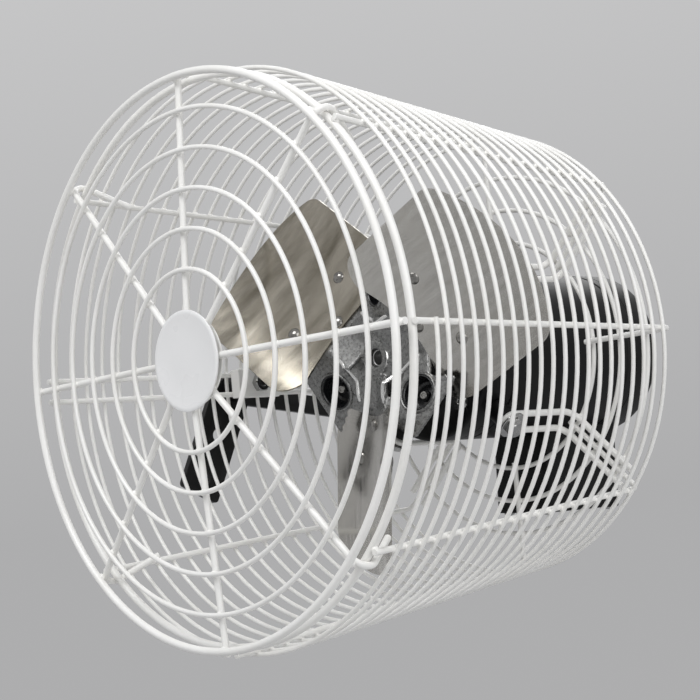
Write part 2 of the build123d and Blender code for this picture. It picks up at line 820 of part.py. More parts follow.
with BuildPart() as fan_spider:
    with BuildSketch(front_view(spider_depth)):
        RegularPolygon(spider_hub_radius, body_sides)
    extrude(amount=-spider_sheet)
    with BuildSketch(front_view(boss_front_depth)):
        RegularPolygon(boss_radius, bore_sides)
    extrude(amount=-boss_length)
    for turn, pad in zip(blade_turns, pads):
        add(pad.part)
        with BuildSketch(eye_view(turn)) as web:
            Rectangle(
                2 * (spider_eye_radius + spider_eye_rim),
                2 * eye_half_width / cos(eye_tilt),
            )
            chamfer(web.vertices(), spider_eye_rim / 2)
        extrude(amount=spider_sheet / 2, both=True)
        with BuildSketch(side_cut(turn)):
            with BuildLine():
                Polyline(
                    (boss_radius - spider_sheet, spider_depth + spider_sheet / 2),
                    (spider_rib_end, spider_depth + spider_sheet / 2),
                    (spider_rib_end, spider_depth + spider_sheet * 2),
                    (boss_radius - spider_sheet, spider_rib_depth),
                    close=True,
                )
            make_face()
        extrude(amount=spider_rib_width / 2, both=True)
    for turn, room in zip(blade_turns, blade_rooms):
        add(room.part, mode=Mode.SUBTRACT)
        with BuildSketch(eye_view(turn)):
            RegularPolygon(spider_eye_radius, bore_sides)
        extrude(amount=4 * spider_sheet, both=True, mode=Mode.SUBTRACT)
        for place, across in rivet_spots:
            with BuildSketch(rivet_view(turn, place, across)):
                RegularPolygon(rivet_hole_radius, rivet_sides)
            extrude(amount=-4 * spider_sheet, mode=Mode.SUBTRACT)
    with BuildSketch(front_view(boss_front_depth)):
        RegularPolygon(shaft_radius + running_fit, bore_sides, major_radius=False)
    extrude(amount=-boss_length, mode=Mode.SUBTRACT)
    with BuildSketch(outward_view(0, set_screw_depth, blade_turns[0] + 60)):
        RegularPolygon(set_screw_radius + running_fit, rivet_sides)
    extrude(amount=boss_radius + seat_gap, mode=Mode.SUBTRACT)

with BuildPart() as blade_rivets:
    grip = blade_sheet + seat_gap + spider_sheet + seat_gap
    for turn in blade_turns:
        for place, across in rivet_spots:
            face = rivet_view(turn, place, across)
            with BuildSketch(face.offset(seat_gap)):
                RegularPolygon(rivet_head_radius, rivet_sides)
            extrude(amount=rivet_head_height, taper=35)
            with BuildSketch(face.offset(seat_gap)):
                RegularPolygon(rivet_radius, rivet_sides)
            extrude(amount=-grip - seat_gap)
            with BuildSketch(face.offset(-grip)):
                RegularPolygon(rivet_tail_radius, rivet_sides)
            extrude(amount=-rivet_tail_height)

with BuildPart() as hub_set_screw:
    with BuildSketch(outward_view(shaft_radius + running_fit, set_screw_depth, blade_turns[0] + 60)):
        RegularPolygon(set_screw_radius, rivet_sides)
    extrude(amount=boss_radius - shaft_radius - running_fit)

# Side arm: a flat cranked plate that stands clear of the cage, on one pivot bolt.
side_view = Plane(
    origin=centre + Vector(-plate_standoff - plate_thickness, pivot_depth, 0),
    x_dir=(0, 1, 0),
    z_dir=(1, 0, 0),
)
with BuildPart() as side_arm:
    with BuildSketch(side_view) as arm_outline:
        Rectangle(
            leg_width, leg_length, rotation=-leg_lean, align=(Align.CENTER, Align.MAX)
        )
        with Locations((-bar_start, -bar_drop)):
            Rectangle(
                bar_length, bar_height, rotation=-bar_slope, align=(Align.MIN, Align.CENTER)
            )
        fillet(arm_outline.vertices().sort_by(Axis.X)[-2:], plate_corner)
        fillet(arm_outline.vertices().sort_by(Axis.Y)[:2], plate_corner)
        Circle(pivot_eye_radius)
        with Locations(leg_along * leg_lower_hole, leg_along * leg_upper_hole):
            Circle(leg_hole_radius, mode=Mode.SUBTRACT)
        Circle(pivot_size / 2 + pivot_fit, mode=Mode.SUBTRACT)
    extrude(amount=plate_thickness)


def pivot_view(radius):
    """Plane square to the pivot bolt at a distance left of the fan axis, facing left."""
    return Plane(
        origin=centre + Vector(-radius, pivot_depth, 0), x_dir=(0, 1, 0), z_dir=(-1, 0, 0)
    )


plan = Plane(origin=centre)
pivot_hole = (pivot_size / 2 + pivot_fit) / cos(pi / hardware_sides)
clamp_front = pivot_depth - clamp_length / 2
clamp_rear = pivot_depth + clamp_length / 2
rod_inside = (rod_wire / 2 + seat_gap) / cos(taper)
winding_outside = (winding_wire / 2 + seat_gap) / cos(taper)
clamp_inner_face = rod_radius_at(clamp_rear) - rod_inside - clamp_thickness

with BuildPart() as pivot_clamp:
    with BuildSketch(plan):
        with BuildLine():
            Polyline(
                (-rod_radius_at(clamp_front) + rod_inside, clamp_front),
                (-rod_radius_at(clamp_rear) + rod_inside, clamp_rear),
                (-clamp_inner_face, clamp_rear),
                (-clamp_inner_face, clamp_front),
                close=True,
            )
        make_face()
    extrude(amount=clamp_height / 2, both=True)
    with BuildSketch(pivot_view(clamp_inner_face)):
        RegularPolygon(pivot_hole, hardware_sides)
    extrude(amount=2 * clamp_length, mode=Mode.SUBTRACT)

with BuildPart() as pivot_spacer:
    with BuildSketch(pivot_view(clamp_inner_face)):
        RegularPolygon(pivot_spacer_radius, hardware_sides)
        RegularPolygon(pivot_hole, hardware_sides, mode=Mode.SUBTRACT)
    extrude(amount=plate_standoff - moving_gap - clamp_inner_face)
    with BuildSketch(plan):
        with BuildLine():
            Polyline(
                (-winding_radius_at(clamp_front) - winding_outside, clamp_front),
                (-winding_radius_at(clamp_rear) - winding_outside, clamp_rear),
                (0, clamp_rear),
                (0, clamp_front),
                close=True,
            )
        make_face()
    extrude(amount=2 * pivot_spacer_radius, both=True, mode=Mode.SUBTRACT)

washer_face = plate_standoff + plate_thickness + moving_gap
nut_face = washer_face + pivot_washer_thickness + seat_gap
nut_height = pivot_size * 0.8
hex_half_width = pivot_size * 0.8
with BuildPart() as pivot_washer:
    with BuildSketch(pivot_view(washer_face)):
        RegularPolygon(pivot_washer_radius, hardware_sides)
        RegularPolygon(pivot_hole, hardware_sides, mode=Mode.SUBTRACT)
    extrude(amount=pivot_washer_thickness)

with BuildPart() as pivot_nut:
    with BuildSketch(pivot_view(nut_face)):
        RegularPolygon(hex_half_width, 6, major_radius=False)
        RegularPolygon(pivot_hole, hardware_sides, mode=Mode.SUBTRACT)
    extrude(amount=nut_height)

with BuildPart() as pivot_bolt:
    with BuildSketch(pivot_view(clamp_inner_face - seat_gap)):
        RegularPolygon(hex_half_width, 6, major_radius=False)
    extrude(amount=-nut_height * 0.8)
    with BuildSketch(pivot_view(clamp_inner_face - seat_gap)):
        Circle(pivot_size / 2)
    extrude(amount=nut_face + nut_height * 1.4 - clamp_inner_face)

pieces = {
    "side_arm": side_arm,
    "pivot_bolt": pivot_bolt,
    "pivot_nut": pivot_nut,
    "pivot_washer": pivot_washer,
    "pivot_spacer": pivot_spacer,
    "pivot_clamp": pivot_clamp,
    "grille_outer_ring": grille_outer_ring,
    "grille_inner_rings": grille_inner_rings,
    "grille_spokes": grille_spokes,
    "grille_hook_spokes": grille_hook_spokes,
    "grille_centre_plate": grille_centre_plate,
    "grille_cap": grille_cap,
    "cage_front_ring": cage_front_ring,
    "cage_rods": cage_rods,
    "cage_mount_rods": cage_mount_rods,
    "cage_rear_rings": cage_rear_rings,
    "cage_winding": cage_winding,
    "upper_right_arm": upper_right_arm,
    "upper_left_arm": upper_left_arm,
    "lower_left_arm": lower_left_arm,
    "lower_right_arm": lower_right_arm,
    "motor_support_spacers": motor_support_spacers,
    "motor_support_washers": motor_support_washers,
    "motor_support_bolts": motor_support_bolts,
    "motor_shell": motor_shell,
    "motor_front_bell": motor_front_bell,
    "motor_rear_bell": motor_rear_bell,
    "motor_front_bearing": motor_front_bearing,
    "motor_rear_bearing": motor_rear_bearing,
    "motor_stator": motor_stator,
    "motor_rotor": motor_rotor,
    "motor_shaft": motor_shaft,
    "motor_through_bolts": motor_through_bolts,
    "terminal_box": terminal_box,
    "terminal_box_lid": terminal_box_lid,
    "lid_screws": lid_screws,
    "cable_gland": cable_gland,
    "fan_spider": fan_spider,
    "right_blade": right_blade,
    "left_blade": left_blade,
    "lower_blade": lower_blade,
    "blade_rivets": blade_rivets,
    "hub_set_screw": hub_set_screw,
}
for name, piece in pieces.items():
    piece.part.label = name
    export_step(piece.part, f"parts/{name}.step")
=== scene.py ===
import bpy
import bmesh
from math import atan2, cos, hypot, pi, radians, remainder, sin, sqrt, tan
from mathutils import Matrix, Vector, noise
from mathutils.bvhtree import BVHTree


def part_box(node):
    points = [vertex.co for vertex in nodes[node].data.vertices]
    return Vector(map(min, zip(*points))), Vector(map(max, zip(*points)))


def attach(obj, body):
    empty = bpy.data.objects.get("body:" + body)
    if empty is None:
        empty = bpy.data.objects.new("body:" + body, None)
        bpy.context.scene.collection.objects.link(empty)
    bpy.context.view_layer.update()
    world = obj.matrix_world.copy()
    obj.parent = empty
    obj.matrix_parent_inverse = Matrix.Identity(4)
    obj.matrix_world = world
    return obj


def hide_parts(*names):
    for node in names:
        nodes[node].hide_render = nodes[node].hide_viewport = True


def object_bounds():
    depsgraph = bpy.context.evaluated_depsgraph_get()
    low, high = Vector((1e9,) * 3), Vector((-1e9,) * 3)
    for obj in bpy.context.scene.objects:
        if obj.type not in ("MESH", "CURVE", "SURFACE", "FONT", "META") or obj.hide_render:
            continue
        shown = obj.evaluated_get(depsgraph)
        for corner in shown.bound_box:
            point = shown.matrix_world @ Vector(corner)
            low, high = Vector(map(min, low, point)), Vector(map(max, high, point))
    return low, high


# Air circulator fan in a round wire cage, on a flat side arm. Sizes in the
# dictionaries are millimetres. Depth runs rearward from the grille's outer ring,
# and turn is the angle about the fan axis, anticlockwise from +X from the front.

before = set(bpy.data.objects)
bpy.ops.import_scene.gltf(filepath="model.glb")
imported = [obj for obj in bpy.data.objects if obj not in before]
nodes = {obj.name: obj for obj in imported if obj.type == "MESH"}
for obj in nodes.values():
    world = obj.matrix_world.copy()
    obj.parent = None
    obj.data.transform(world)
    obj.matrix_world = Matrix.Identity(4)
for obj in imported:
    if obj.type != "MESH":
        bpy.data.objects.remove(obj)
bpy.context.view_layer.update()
scene = bpy.context.scene
millimetre = 0.001
rearward, upward = Vector((0, 1, 0)), Vector((0, 0, 1))
shaftLow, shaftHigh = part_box("motor_shaft")
ringLow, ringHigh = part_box("grille_outer_ring")
fanCentre = Vector((
    (shaftLow.x + shaftHigh.x) / 2,
    (ringLow.y + ringHigh.y) / 2,
    (shaftLow.z + shaftHigh.z) / 2,
))


def outward(turn):
    return Vector((cos(radians(turn)), 0, sin(radians(turn))))


def acrossOf(turn):
    return Vector((-sin(radians(turn)), 0, cos(radians(turn))))


def place(radius, turn, depth, aside=0.0):
    local = outward(turn) * radius + acrossOf(turn) * aside + rearward * depth
    return fanCentre + local * millimetre


def depthsOf(node):
    low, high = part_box(node)
    return (low.y - fanCentre.y) / millimetre, (high.y - fanCentre.y) / millimetre


# Finishes
paint = {
    "cloudDetail": 4, "shadeAt": 0.3, "colourAt": 0.62, "glossAt": 0.7, "cloudRough": 0.08,
    "peelDetail": 2, "peelDepth": 0.0002, "coatRough": 0.2, "sheen": 0.5,
}
metal = {
    "streakDetail": 4, "noiseRough": 0.6, "spread": (0.25, 0.75), "glossAt": 0.3,
    "dullAt": 0.7, "smoother": 0.05, "rougher": 0.07, "grainDetail": 3,
    "grainDepth": 0.0001,
}


def newMaterial(name):
    material = bpy.data.materials.new(name)
    material.use_nodes = True
    return material.node_tree, material.node_tree.nodes["Principled BSDF"]


def addNode(tree, kind, values={}):
    # A shader node, with values for its own sockets.
    node = tree.nodes.new("ShaderNode" + kind)
    for socket, value in values.items():
        node.inputs[socket].default_value = value
    return node


def linkSockets(tree, *pairs):
    for source, target in pairs:
        tree.links.new(source, target)


def noiseOf(tree, scale, detail, rough=0.5, stretch=(1, 1, 1), source="Object"):
    coords = addNode(tree, "TexCoord")
    mapping = addNode(tree, "Mapping", {"Scale": stretch})
    texture = addNode(tree, "TexNoise", {"Scale": scale, "Detail": detail, "Roughness": rough})
    linkSockets(
        tree,
        (coords.outputs[source], mapping.inputs["Vector"]),
        (mapping.outputs["Vector"], texture.inputs["Vector"]),
    )
    return texture.outputs["Fac"]


def rampOf(tree, source, start, end):
    # A ramp between two stops, each a position and a colour.
    node = addNode(tree, "ValToRGB")
    for element, (position, colour) in zip(node.color_ramp.elements, (start, end)):
        element.position = position
        element.color = (*colour, 1)
    tree.links.new(source, node.inputs["Fac"])
    return node.outputs["Color"]


def addBump(tree, shader, source, strength, distance):
    bump = addNode(tree, "Bump", {"Strength": strength, "Distance": distance})
    linkSockets(
        tree, (source, bump.inputs["Height"]), (bump.outputs["Normal"], shader.inputs["Normal"])
    )


def grey(value):
    return (value, value, value)


def paintFinish(name, look):
    # Paint or plastic: a faint cloud of shade, a little orange peel and a thin coat.
    tree, shader = newMaterial(name)
    cloud = noiseOf(tree, look["cloudScale"], paint["cloudDetail"])
    tint = rampOf(
        tree, cloud, (paint["shadeAt"], look["shade"]), (paint["colourAt"], look["colour"])
    )
    dull, gloss = grey(look["rough"] + paint["cloudRough"]), grey(look["rough"])
    rough = rampOf(tree, cloud, (paint["shadeAt"], dull), (paint["glossAt"], gloss))
    linkSockets(tree, (tint, shader.inputs["Base Color"]), (rough, shader.inputs["Roughness"]))
    peel = noiseOf(tree, look["peelScale"], paint["peelDetail"])
    addBump(tree, shader, peel, look["peel"], paint["peelDepth"])
    shader.inputs["Coat Weight"].default_value = look.get("coat", 0)
    shader.inputs["Coat Roughness"].default_value = paint["coatRough"]
    shader.inputs["Specular IOR Level"].default_value = look.get("sheen", paint["sheen"])


def metalFinish(name, look):
    # Bare metal: streaks of tone and gloss along the grain, and fine scratches. On the left
    # blade's darker copy the broad streaks are painted reflection.
    along = look.get("stretch", (1, 1, 1)), look.get("source", "Object")
    tree, shader = newMaterial(name)
    shader.inputs["Metallic"].default_value = look.get("metallic", 1)
    streak = noiseOf(
        tree, look["streakScale"], metal["streakDetail"], metal["noiseRough"], *along
    )
    darkAt, lightAt = look.get("spread", metal["spread"])
    tint = rampOf(tree, streak, (darkAt, look["dark"]), (lightAt, look["light"]))
    gloss, dull = grey(look["rough"] - metal["smoother"]), grey(look["rough"] + metal["rougher"])
    rough = rampOf(tree, streak, (metal["glossAt"], gloss), (metal["dullAt"], dull))
    linkSockets(tree, (tint, shader.inputs["Base Color"]), (rough, shader.inputs["Roughness"]))
    grain = noiseOf(tree, look["grainScale"], metal["grainDetail"], metal["noiseRough"], *along)
    addBump(tree, shader, grain, look["grain"], metal["grainDepth"])


paintLooks = {
    "wirePaint": {
        "colour": (0.93, 0.922, 0.895), "shade": (0.87, 0.86, 0.825),
        "cloudScale": 24, "rough": 0.36, "peelScale": 900, "peel": 0.25, "coat": 0.25,
    },
    "capPaint": {
        "colour": (0.90, 0.90, 0.895), "shade": (0.87, 0.87, 0.865),
        "cloudScale": 14, "rough": 0.24, "peelScale": 260, "peel": 0.05, "coat": 0.4,
    },
    "blackPaint": {
        "colour": (0.004, 0.004, 0.0044), "shade": (0.008, 0.008, 0.008), "sheen": 0.3,
        "cloudScale": 18, "rough": 0.38, "peelScale": 700, "peel": 0.35,
    },
    "motorPaint": {
        "colour": (0.003, 0.003, 0.0033), "shade": (0.006, 0.006, 0.006), "sheen": 0.2,
        "cloudScale": 12, "rough": 0.4, "peelScale": 500, "peel": 0.3,
    },
    "boxPaint": {
        "colour": (0.003, 0.003, 0.0033), "shade": (0.006, 0.006, 0.006), "sheen": 0.2,
        "cloudScale": 30, "rough": 0.45, "peelScale": 420, "peel": 0.5,
    },
    "glandPlastic": {
        "colour": (0.016, 0.016, 0.016), "shade": (0.03, 0.03, 0.03),
        "cloudScale": 60, "rough": 0.5, "peelScale": 1200, "peel": 0.2,
    },
    "plugRubber": {
        "colour": (0.006, 0.006, 0.007), "shade": (0.012, 0.013, 0.014),
        "cloudScale": 80, "rough": 0.22, "peelScale": 600, "peel": 0.15, "coat": 0.3,
    },
}
metalLooks = {
    "bladeMetal": {
        "source": "UV", "light": (0.61, 0.595, 0.565), "dark": (0.46, 0.445, 0.415),
        "streakScale": 3, "stretch": (1, 9, 1), "rough": 0.15, "grainScale": 60, "grain": 0.06,
    },
    # A darker, warmer copy of bladeMetal for the left blade alone; its broad dark and light
    # streaks are painted reflection of dark, warm surroundings.
    "warmBladeMetal": {
        "source": "UV", "light": (0.52, 0.485, 0.42), "dark": (0.22, 0.20, 0.16),
        "spread": (0.3, 0.72), "streakScale": 1.5, "stretch": (3.4, 0.9, 1), "rough": 0.14,
        "grainScale": 40, "grain": 0.05,
    },
    "spiderMetal": {
        "metallic": 0.8, "light": (0.33, 0.33, 0.325), "dark": (0.12, 0.12, 0.118),
        "streakScale": 420, "rough": 0.28, "grainScale": 700, "grain": 0.7,
    },
    # A near-white copy of the casting's metal, far lighter than the spider, for the boss rim and
    # the eye flanges, which are cast with it. On the flanges it is painted highlight for their lit
    # edges.
    "rimMetal": {
        "metallic": 0.9, "light": (0.95, 0.95, 0.94), "dark": (0.66, 0.66, 0.65),
        "streakScale": 150, "rough": 0.22, "grainScale": 700, "grain": 0.2,
    },
    "brightMetal": {
        "light": (0.52, 0.52, 0.51), "dark": (0.32, 0.32, 0.32),
        "streakScale": 160, "rough": 0.15, "grainScale": 800, "grain": 0.08,
    },
    "rivetMetal": {
        "light": (0.40, 0.39, 0.37), "dark": (0.20, 0.195, 0.185),
        "streakScale": 300, "rough": 0.12, "grainScale": 900, "grain": 0.05,
    },
    "steelMetal": {
        "light": (0.50, 0.50, 0.50), "dark": (0.36, 0.36, 0.36),
        "streakScale": 120, "stretch": (1, 8, 1), "rough": 0.3, "grainScale": 500, "grain": 0.2,
    },
}
for name, look in paintLooks.items():
    paintFinish(name, look)
for name, look in metalLooks.items():
    metalFinish(name, look)
print("finishes ready")


# Makers that several pieces share
white = ("wirePaint", "cage", "white_wire")
zinc = ("brightMetal", "cage", "zinc")


def nodeNamed(name):
    # The CAD node that a piece of this name stands for: motorShell is motor_shell.
    return "".join("_" + letter.lower() if letter.isupper() else letter for letter in name)


def finishPiece(piece, finish, body, slotName):
    piece.data.materials.clear()
    piece.data.materials.append(bpy.data.materials[finish])
    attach(piece, body)
    if nodeNamed(piece.name) in nodes:
        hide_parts(nodeNamed(piece.name))


def linkPiece(name, data):
    piece = bpy.data.objects.new(name, data)
    scene.collection.objects.link(piece)
    return piece


def meshPiece(name, mesh):
    data = bpy.data.meshes.new(name)
    mesh.to_mesh(data)
    mesh.free()
    data.polygons.foreach_set("use_smooth", [True] * len(data.polygons))
    return linkPiece(name, data)


def wirePiece(name, routes, thickness, roundness, closed=False):
    # One curve object in the cage's paint, with one spline for each length of wire.
    curve = bpy.data.curves.new(name, "CURVE")
    curve.dimensions = "3D"
    curve.bevel_depth = thickness / 2 * millimetre
    curve.bevel_resolution = roundness
    curve.use_fill_caps = True
    for route in routes:
        spline = curve.splines.new("POLY")
        spline.points.add(len(route) - 1)
        for point, spot in zip(spline.points, route):
            point.co = (*spot, 1)
        spline.use_cyclic_u = closed
        spline.use_smooth = True
    finishPiece(linkPiece(name, curve), *white)


def circleRoute(radius, depth, count=144):
    return [place(radius, 360 * step / count, depth) for step in range(count)]


def bentRoute(corners, bendRadius, steps=10):
    # Straight runs with a round bend at each inner corner; the corners are vectors.
    route = [corners[0]]
    for before, corner, after in zip(corners, corners[1:], corners[2:]):
        toBefore = (before - corner).normalized()
        toAfter = (after - corner).normalized()
        half = toBefore.angle(toAfter) / 2
        radius = bendRadius * millimetre
        reach = radius / tan(half)
        middle = corner + (toBefore + toAfter).normalized() * radius / sin(half)
        startArm = corner + toBefore * reach - middle
        endArm = corner + toAfter * reach - middle
        sweep = startArm.angle(endArm)
        for step in range(steps + 1):
            share = step / steps
            arm = startArm * sin((1 - share) * sweep) + endArm * sin(share * sweep)
            route.append(middle + arm / sin(sweep))
    route.append(corners[-1])
    return route


def spotsAbout(origin, axis, sideways):
    # Gives the point for a radius, an angle and a distance along any axis.
    axis = axis.normalized()
    first = (sideways - axis * sideways.dot(axis)).normalized()
    second = axis.cross(first)

    def spot(radius, angle, along):
        aside = (first * cos(angle) + second * sin(angle)) * radius
        return origin + (axis * along + aside) * millimetre
    return spot


def hexSpots(origin, axis, sideways, flats):
    # The same, cut back to a hexagon of that width across its flats.
    roundSpots = spotsAbout(origin, axis, sideways)

    def spot(radius, angle, along):
        flatReach = flats / 2 / cos((angle + pi / 6) % (pi / 3) - pi / 6)
        return roundSpots(min(radius, flatReach), angle, along)
    return spot


fanSpots = spotsAbout(fanCentre, rearward, Vector((1, 0, 0)))


def lathe(shape, spotOf, sides, start=0, end=0):
    # Turns (radius, distance) pairs about an axis. A shape's distances run on from the start
    # and, in its back, in from the end. A profile that starts off the axis is a closed ring.
    if not isinstance(shape, dict):
        shape = {"front": shape, "back": []}
    profile = [(radius, start + inset) for radius, inset in shape["front"]]
    profile += [(radius, end - inset) for radius, inset in shape["back"]]
    mesh = bmesh.new()
    rings = []
    for radius, along in profile:
        count = sides if radius > 0 else 1
        rings.append([
            mesh.verts.new(spotOf(radius, 2 * pi * side / sides, along)) for side in range(count)
        ])
    pairs = list(zip(rings, rings[1:]))
    if profile[0][0] > 0:
        pairs.append((rings[-1], rings[0]))
    for first, second in pairs:
        if len(first) == 1 and len(second) == 1:
            continue
        for here in range(sides):
            there = (here + 1) % sides
            if len(first) == 1:
                mesh.faces.new((first[0], second[here], second[there]))
            elif len(second) == 1:
                mesh.faces.new((first[here], second[0], first[there]))
            else:
                mesh.faces.new((first[here], second[here], second[there], first[there]))
    bmesh.ops.recalc_face_normals(mesh, faces=mesh.faces)
    return meshPiece("part", mesh)


def joinParts(name, parts, *look):
    # Joins the parts into one piece and finishes it.
    target = bmesh.new()
    for part in parts:
        data = part.data
        target.from_mesh(data)
        bpy.data.objects.remove(part)
        bpy.data.meshes.remove(data)
    piece = meshPiece(name, target)
    piece.data.set_sharp_from_angle(angle=radians(32))
    finishPiece(piece, *look)


def roundEdges(piece, width, segments, angle=35):
    bevel = piece.modifiers.new("edges", "BEVEL")
    bevel.width = width * millimetre
    bevel.segments = segments
    bevel.limit_method = "ANGLE"
    bevel.angle_limit = radians(angle)
    bevel.harden_normals = True
    return piece


def nodeCopy(name):
    # A node's own shape as a new piece, with its flats joined up.
    mesh = bmesh.new()
    mesh.from_mesh(nodes[nodeNamed(name)].data)
    bmesh.ops.remove_doubles(mesh, verts=mesh.verts, dist=1e-6)
    bmesh.ops.dissolve_limit(mesh, angle_limit=radians(0.5), verts=mesh.verts, edges=mesh.edges)
    return meshPiece(name, mesh)


# Front grille
gap = 0.1  # left between pieces that are welded or bolted together
squareness = 0.9  # the CAD rings' half height, as a share of their wire's radius
grille = {
    "ringRadius": 187, "ringWire": 5.3, "spokeWire": 4.6, "dish": 3.3, "innerWire": 3.4,
    "innerRadii": [59, 85.2, 111.4, 137.6, 163.8],
    "spokeInner": 20, "spokeOuter": 190.8,
    "straightTurns": [0, 90, 180, 270],
    "hookTurns": [46.5, 133.5, 226.5, 313.5],
    "hookRadius": 9.5, "hookTail": 31, "hookLean": 37, "hookSteps": 16,
}
cage = {
    "ringRadius": 186, "ringWire": 5.3, "ringDepth": 14.8, "taper": 7.08, "rodWire": 4,
    "rodBend": 6.5, "rodInner": 80.5,
    "levelTurns": [0, 90, 270],
    "slantedTurns": [43.4, 136.6, 223.4, 316.6],
    "mountTurn": 180, "mountSpacing": 15, "rearDepth": 291.5, "rearWire": 3.4,
    "rearRadii": [84.5, 109, 133.5],
}
spokeRimDepth = (grille["ringWire"] * squareness + grille["spokeWire"]) / 2 + gap


def spokeDepth(radius):
    return spokeRimDepth - (grille["ringRadius"] - radius) * tan(radians(grille["dish"]))


def spokeSpot(radius, turn):
    return place(radius, turn, spokeDepth(radius))


outerRoute = circleRoute(grille["ringRadius"], 0)
wirePiece("grilleOuterRing", [outerRoute], grille["ringWire"], 5, closed=True)
innerLift = (grille["spokeWire"] + grille["innerWire"] * squareness) / 2 + gap
innerRoutes = [
    circleRoute(radius, spokeDepth(radius) - innerLift) for radius in grille["innerRadii"]
]
wirePiece("grilleInnerRings", innerRoutes, grille["innerWire"], 3, closed=True)
spokeRoutes = [
    [spokeSpot(grille["spokeInner"], turn), spokeSpot(grille["spokeOuter"], turn)]
    for turn in grille["straightTurns"]
]
wirePiece("grilleSpokes", spokeRoutes, grille["spokeWire"], 4)

# The slanted spokes run on round the cage's ring in a hook and end in a straight tail
dish, lean, hookBend = radians(grille["dish"]), radians(grille["hookLean"]), grille["hookRadius"]
hookInside = hookBend - grille["spokeWire"] / 2
hookRadius = cage["ringRadius"] + cage["ringWire"] / 2 + gap - hookInside
hookDepth = spokeDepth(hookRadius) + hookBend / cos(dish)
hookRoutes = []
for turn in grille["hookTurns"]:
    route = [spokeSpot(grille["spokeInner"], turn)]
    for step in range(grille["hookSteps"] + 1):
        angle = dish - pi / 2 + (lean - dish + pi / 2) * step / grille["hookSteps"]
        radius = hookRadius + hookBend * cos(angle)
        route.append(place(radius, turn, hookDepth + hookBend * sin(angle)))
    route.append(place(
        hookRadius + hookBend * cos(lean) - grille["hookTail"] * sin(lean),
        turn,
        hookDepth + hookBend * sin(lean) + grille["hookTail"] * cos(lean),
    ))
    hookRoutes.append(route)
wirePiece("grilleHookSpokes", hookRoutes, grille["spokeWire"], 4)

plate = {
    "front": [(0, 0), (8, 0), (27.6, 0), (28.6, 0.2), (28.95, 0.7)],
    "back": [(28.9, 0.5), (28.4, 0), (10, 0), (0, 0)],
}
cap = {
    "front": [
        (0, 0.05), (12, 0.05), (29.8, 0.12), (30.3, 0.02), (32.2, 0.05), (32.8, 0.4), (32.95, 0.9),
    ],
    "back": [(32.7, 0), (30, 0), (0, 0)],
}
platePart = lathe(plate, fanSpots, 96, *depthsOf("grille_centre_plate"))
joinParts("grilleCentrePlate", [platePart], *white)
capPart = lathe(cap, fanSpots, 128, *depthsOf("grille_cap"))
joinParts("grilleCap", [capPart], "capPaint", "cage", "white_cap")
print("front grille ready")

# Wire cage
taper = radians(cage["taper"])
ringHalf = cage["ringWire"] * squareness / 2
rodFrontDepth = cage["ringDepth"] - ringHalf
rodFrontLift = ringHalf + cage["rodWire"] / 2 / cos(taper) + 2 * ringHalf * tan(taper) + gap
rodFrontRadius = cage["ringRadius"] + rodFrontLift


def rodRadius(depth):
    return rodFrontRadius - (depth - rodFrontDepth) * tan(taper)


def rodRoute(turn, aside=0):
    return bentRoute([
        place(rodFrontRadius, turn, rodFrontDepth, aside),
        place(rodRadius(cage["rearDepth"]), turn, cage["rearDepth"], aside),
        place(cage["rodInner"], turn, cage["rearDepth"], aside),
    ], cage["rodBend"])


frontRoute = circleRoute(cage["ringRadius"], cage["ringDepth"])
wirePiece("cageFrontRing", [frontRoute], cage["ringWire"], 5, closed=True)
rodTurns = cage["levelTurns"] + cage["slantedTurns"]
wirePiece("cageRods", [rodRoute(turn) for turn in rodTurns], cage["rodWire"], 4)
mountAsides = [side * cage["mountSpacing"] / 2 for side in (-1, 1)]
mountRoutes = [rodRoute(cage["mountTurn"], aside) for aside in mountAsides]
wirePiece("cageMountRods", mountRoutes, cage["rodWire"], 4)

rearRingHalf = cage["rearWire"] * squareness / 2
rearRingDepth = cage["rearDepth"] + cage["rodWire"] / 2 + rearRingHalf + gap
rearRoutes = [circleRoute(radius, rearRingDepth) for radius in cage["rearRadii"]]
wirePiece("cageRearRings", rearRoutes, cage["rearWire"], 3, closed=True)

winding = {
    "wire": 3, "startDepth": 28, "startTurn": 2, "firstLead": 10.5, "pitch": 13.3,
    "turns": 19.5, "trim": 0.004, "stepsPerTurn": 120, "sink": 0.2,
}


def windingDepth(turns):
    if turns < 1:
        return winding["startDepth"] + winding["firstLead"] * turns
    return winding["startDepth"] + winding["firstLead"] + winding["pitch"] * (turns - 1)


def windingSpot(turns):
    depth = windingDepth(turns)
    lift = (cage["rodWire"] + winding["wire"]) / 2 + gap - winding["sink"]
    radius = rodRadius(depth) + lift / cos(taper)
    return place(radius, winding["startTurn"] - 360 * turns, depth)


windingSteps = round(winding["turns"] * winding["stepsPerTurn"])
windingRoute = [
    windingSpot(max(winding["trim"], step / winding["stepsPerTurn"]))
    for step in range(windingSteps + 1)
]
wirePiece("cageWinding", [windingRoute], winding["wire"], 3)
print("wire cage ready")

# Motor supports: hairpins that straddle the slanted rods, bolted to the motor
arms = {
    "names": ["upperRightArm", "upperLeftArm", "lowerLeftArm", "lowerRightArm"],
    "wire": 4.8, "spacing": 14.8, "radius": 77.8, "bend": 10, "outerRadius": 145,
    "inset": 12.5, "eyeSteps": 16,
}
armBolt = {
    "flats": 12.8,
    "head": {
        "front": [(0, 0), (6.4, 0), (7, 0.3), (7.39, 0.6)],
        "back": [(7.39, 0.9), (6.2, 0), (2.5, 0), (2.2, 0.25), (0, 0.25)],
    },
    "headHeight": 5.2,
    "shank": {"front": [(0, 0), (3.6, 0), (4, 0.4)], "back": [(4, 0), (0, 0)]},
    "washer": {
        "front": [(4.1, 0), (10.1, 0), (10.5, 0.3)],
        "back": [(10.5, 0.5), (9.9, 0), (4.4, 0)],
    },
    "washerThick": 1.6,
    "spacer": {"front": [(4.1, 0), (7.5, 0), (8, 0.5)], "back": [(8, 0.5), (7.5, 0), (4.1, 0)]},
}
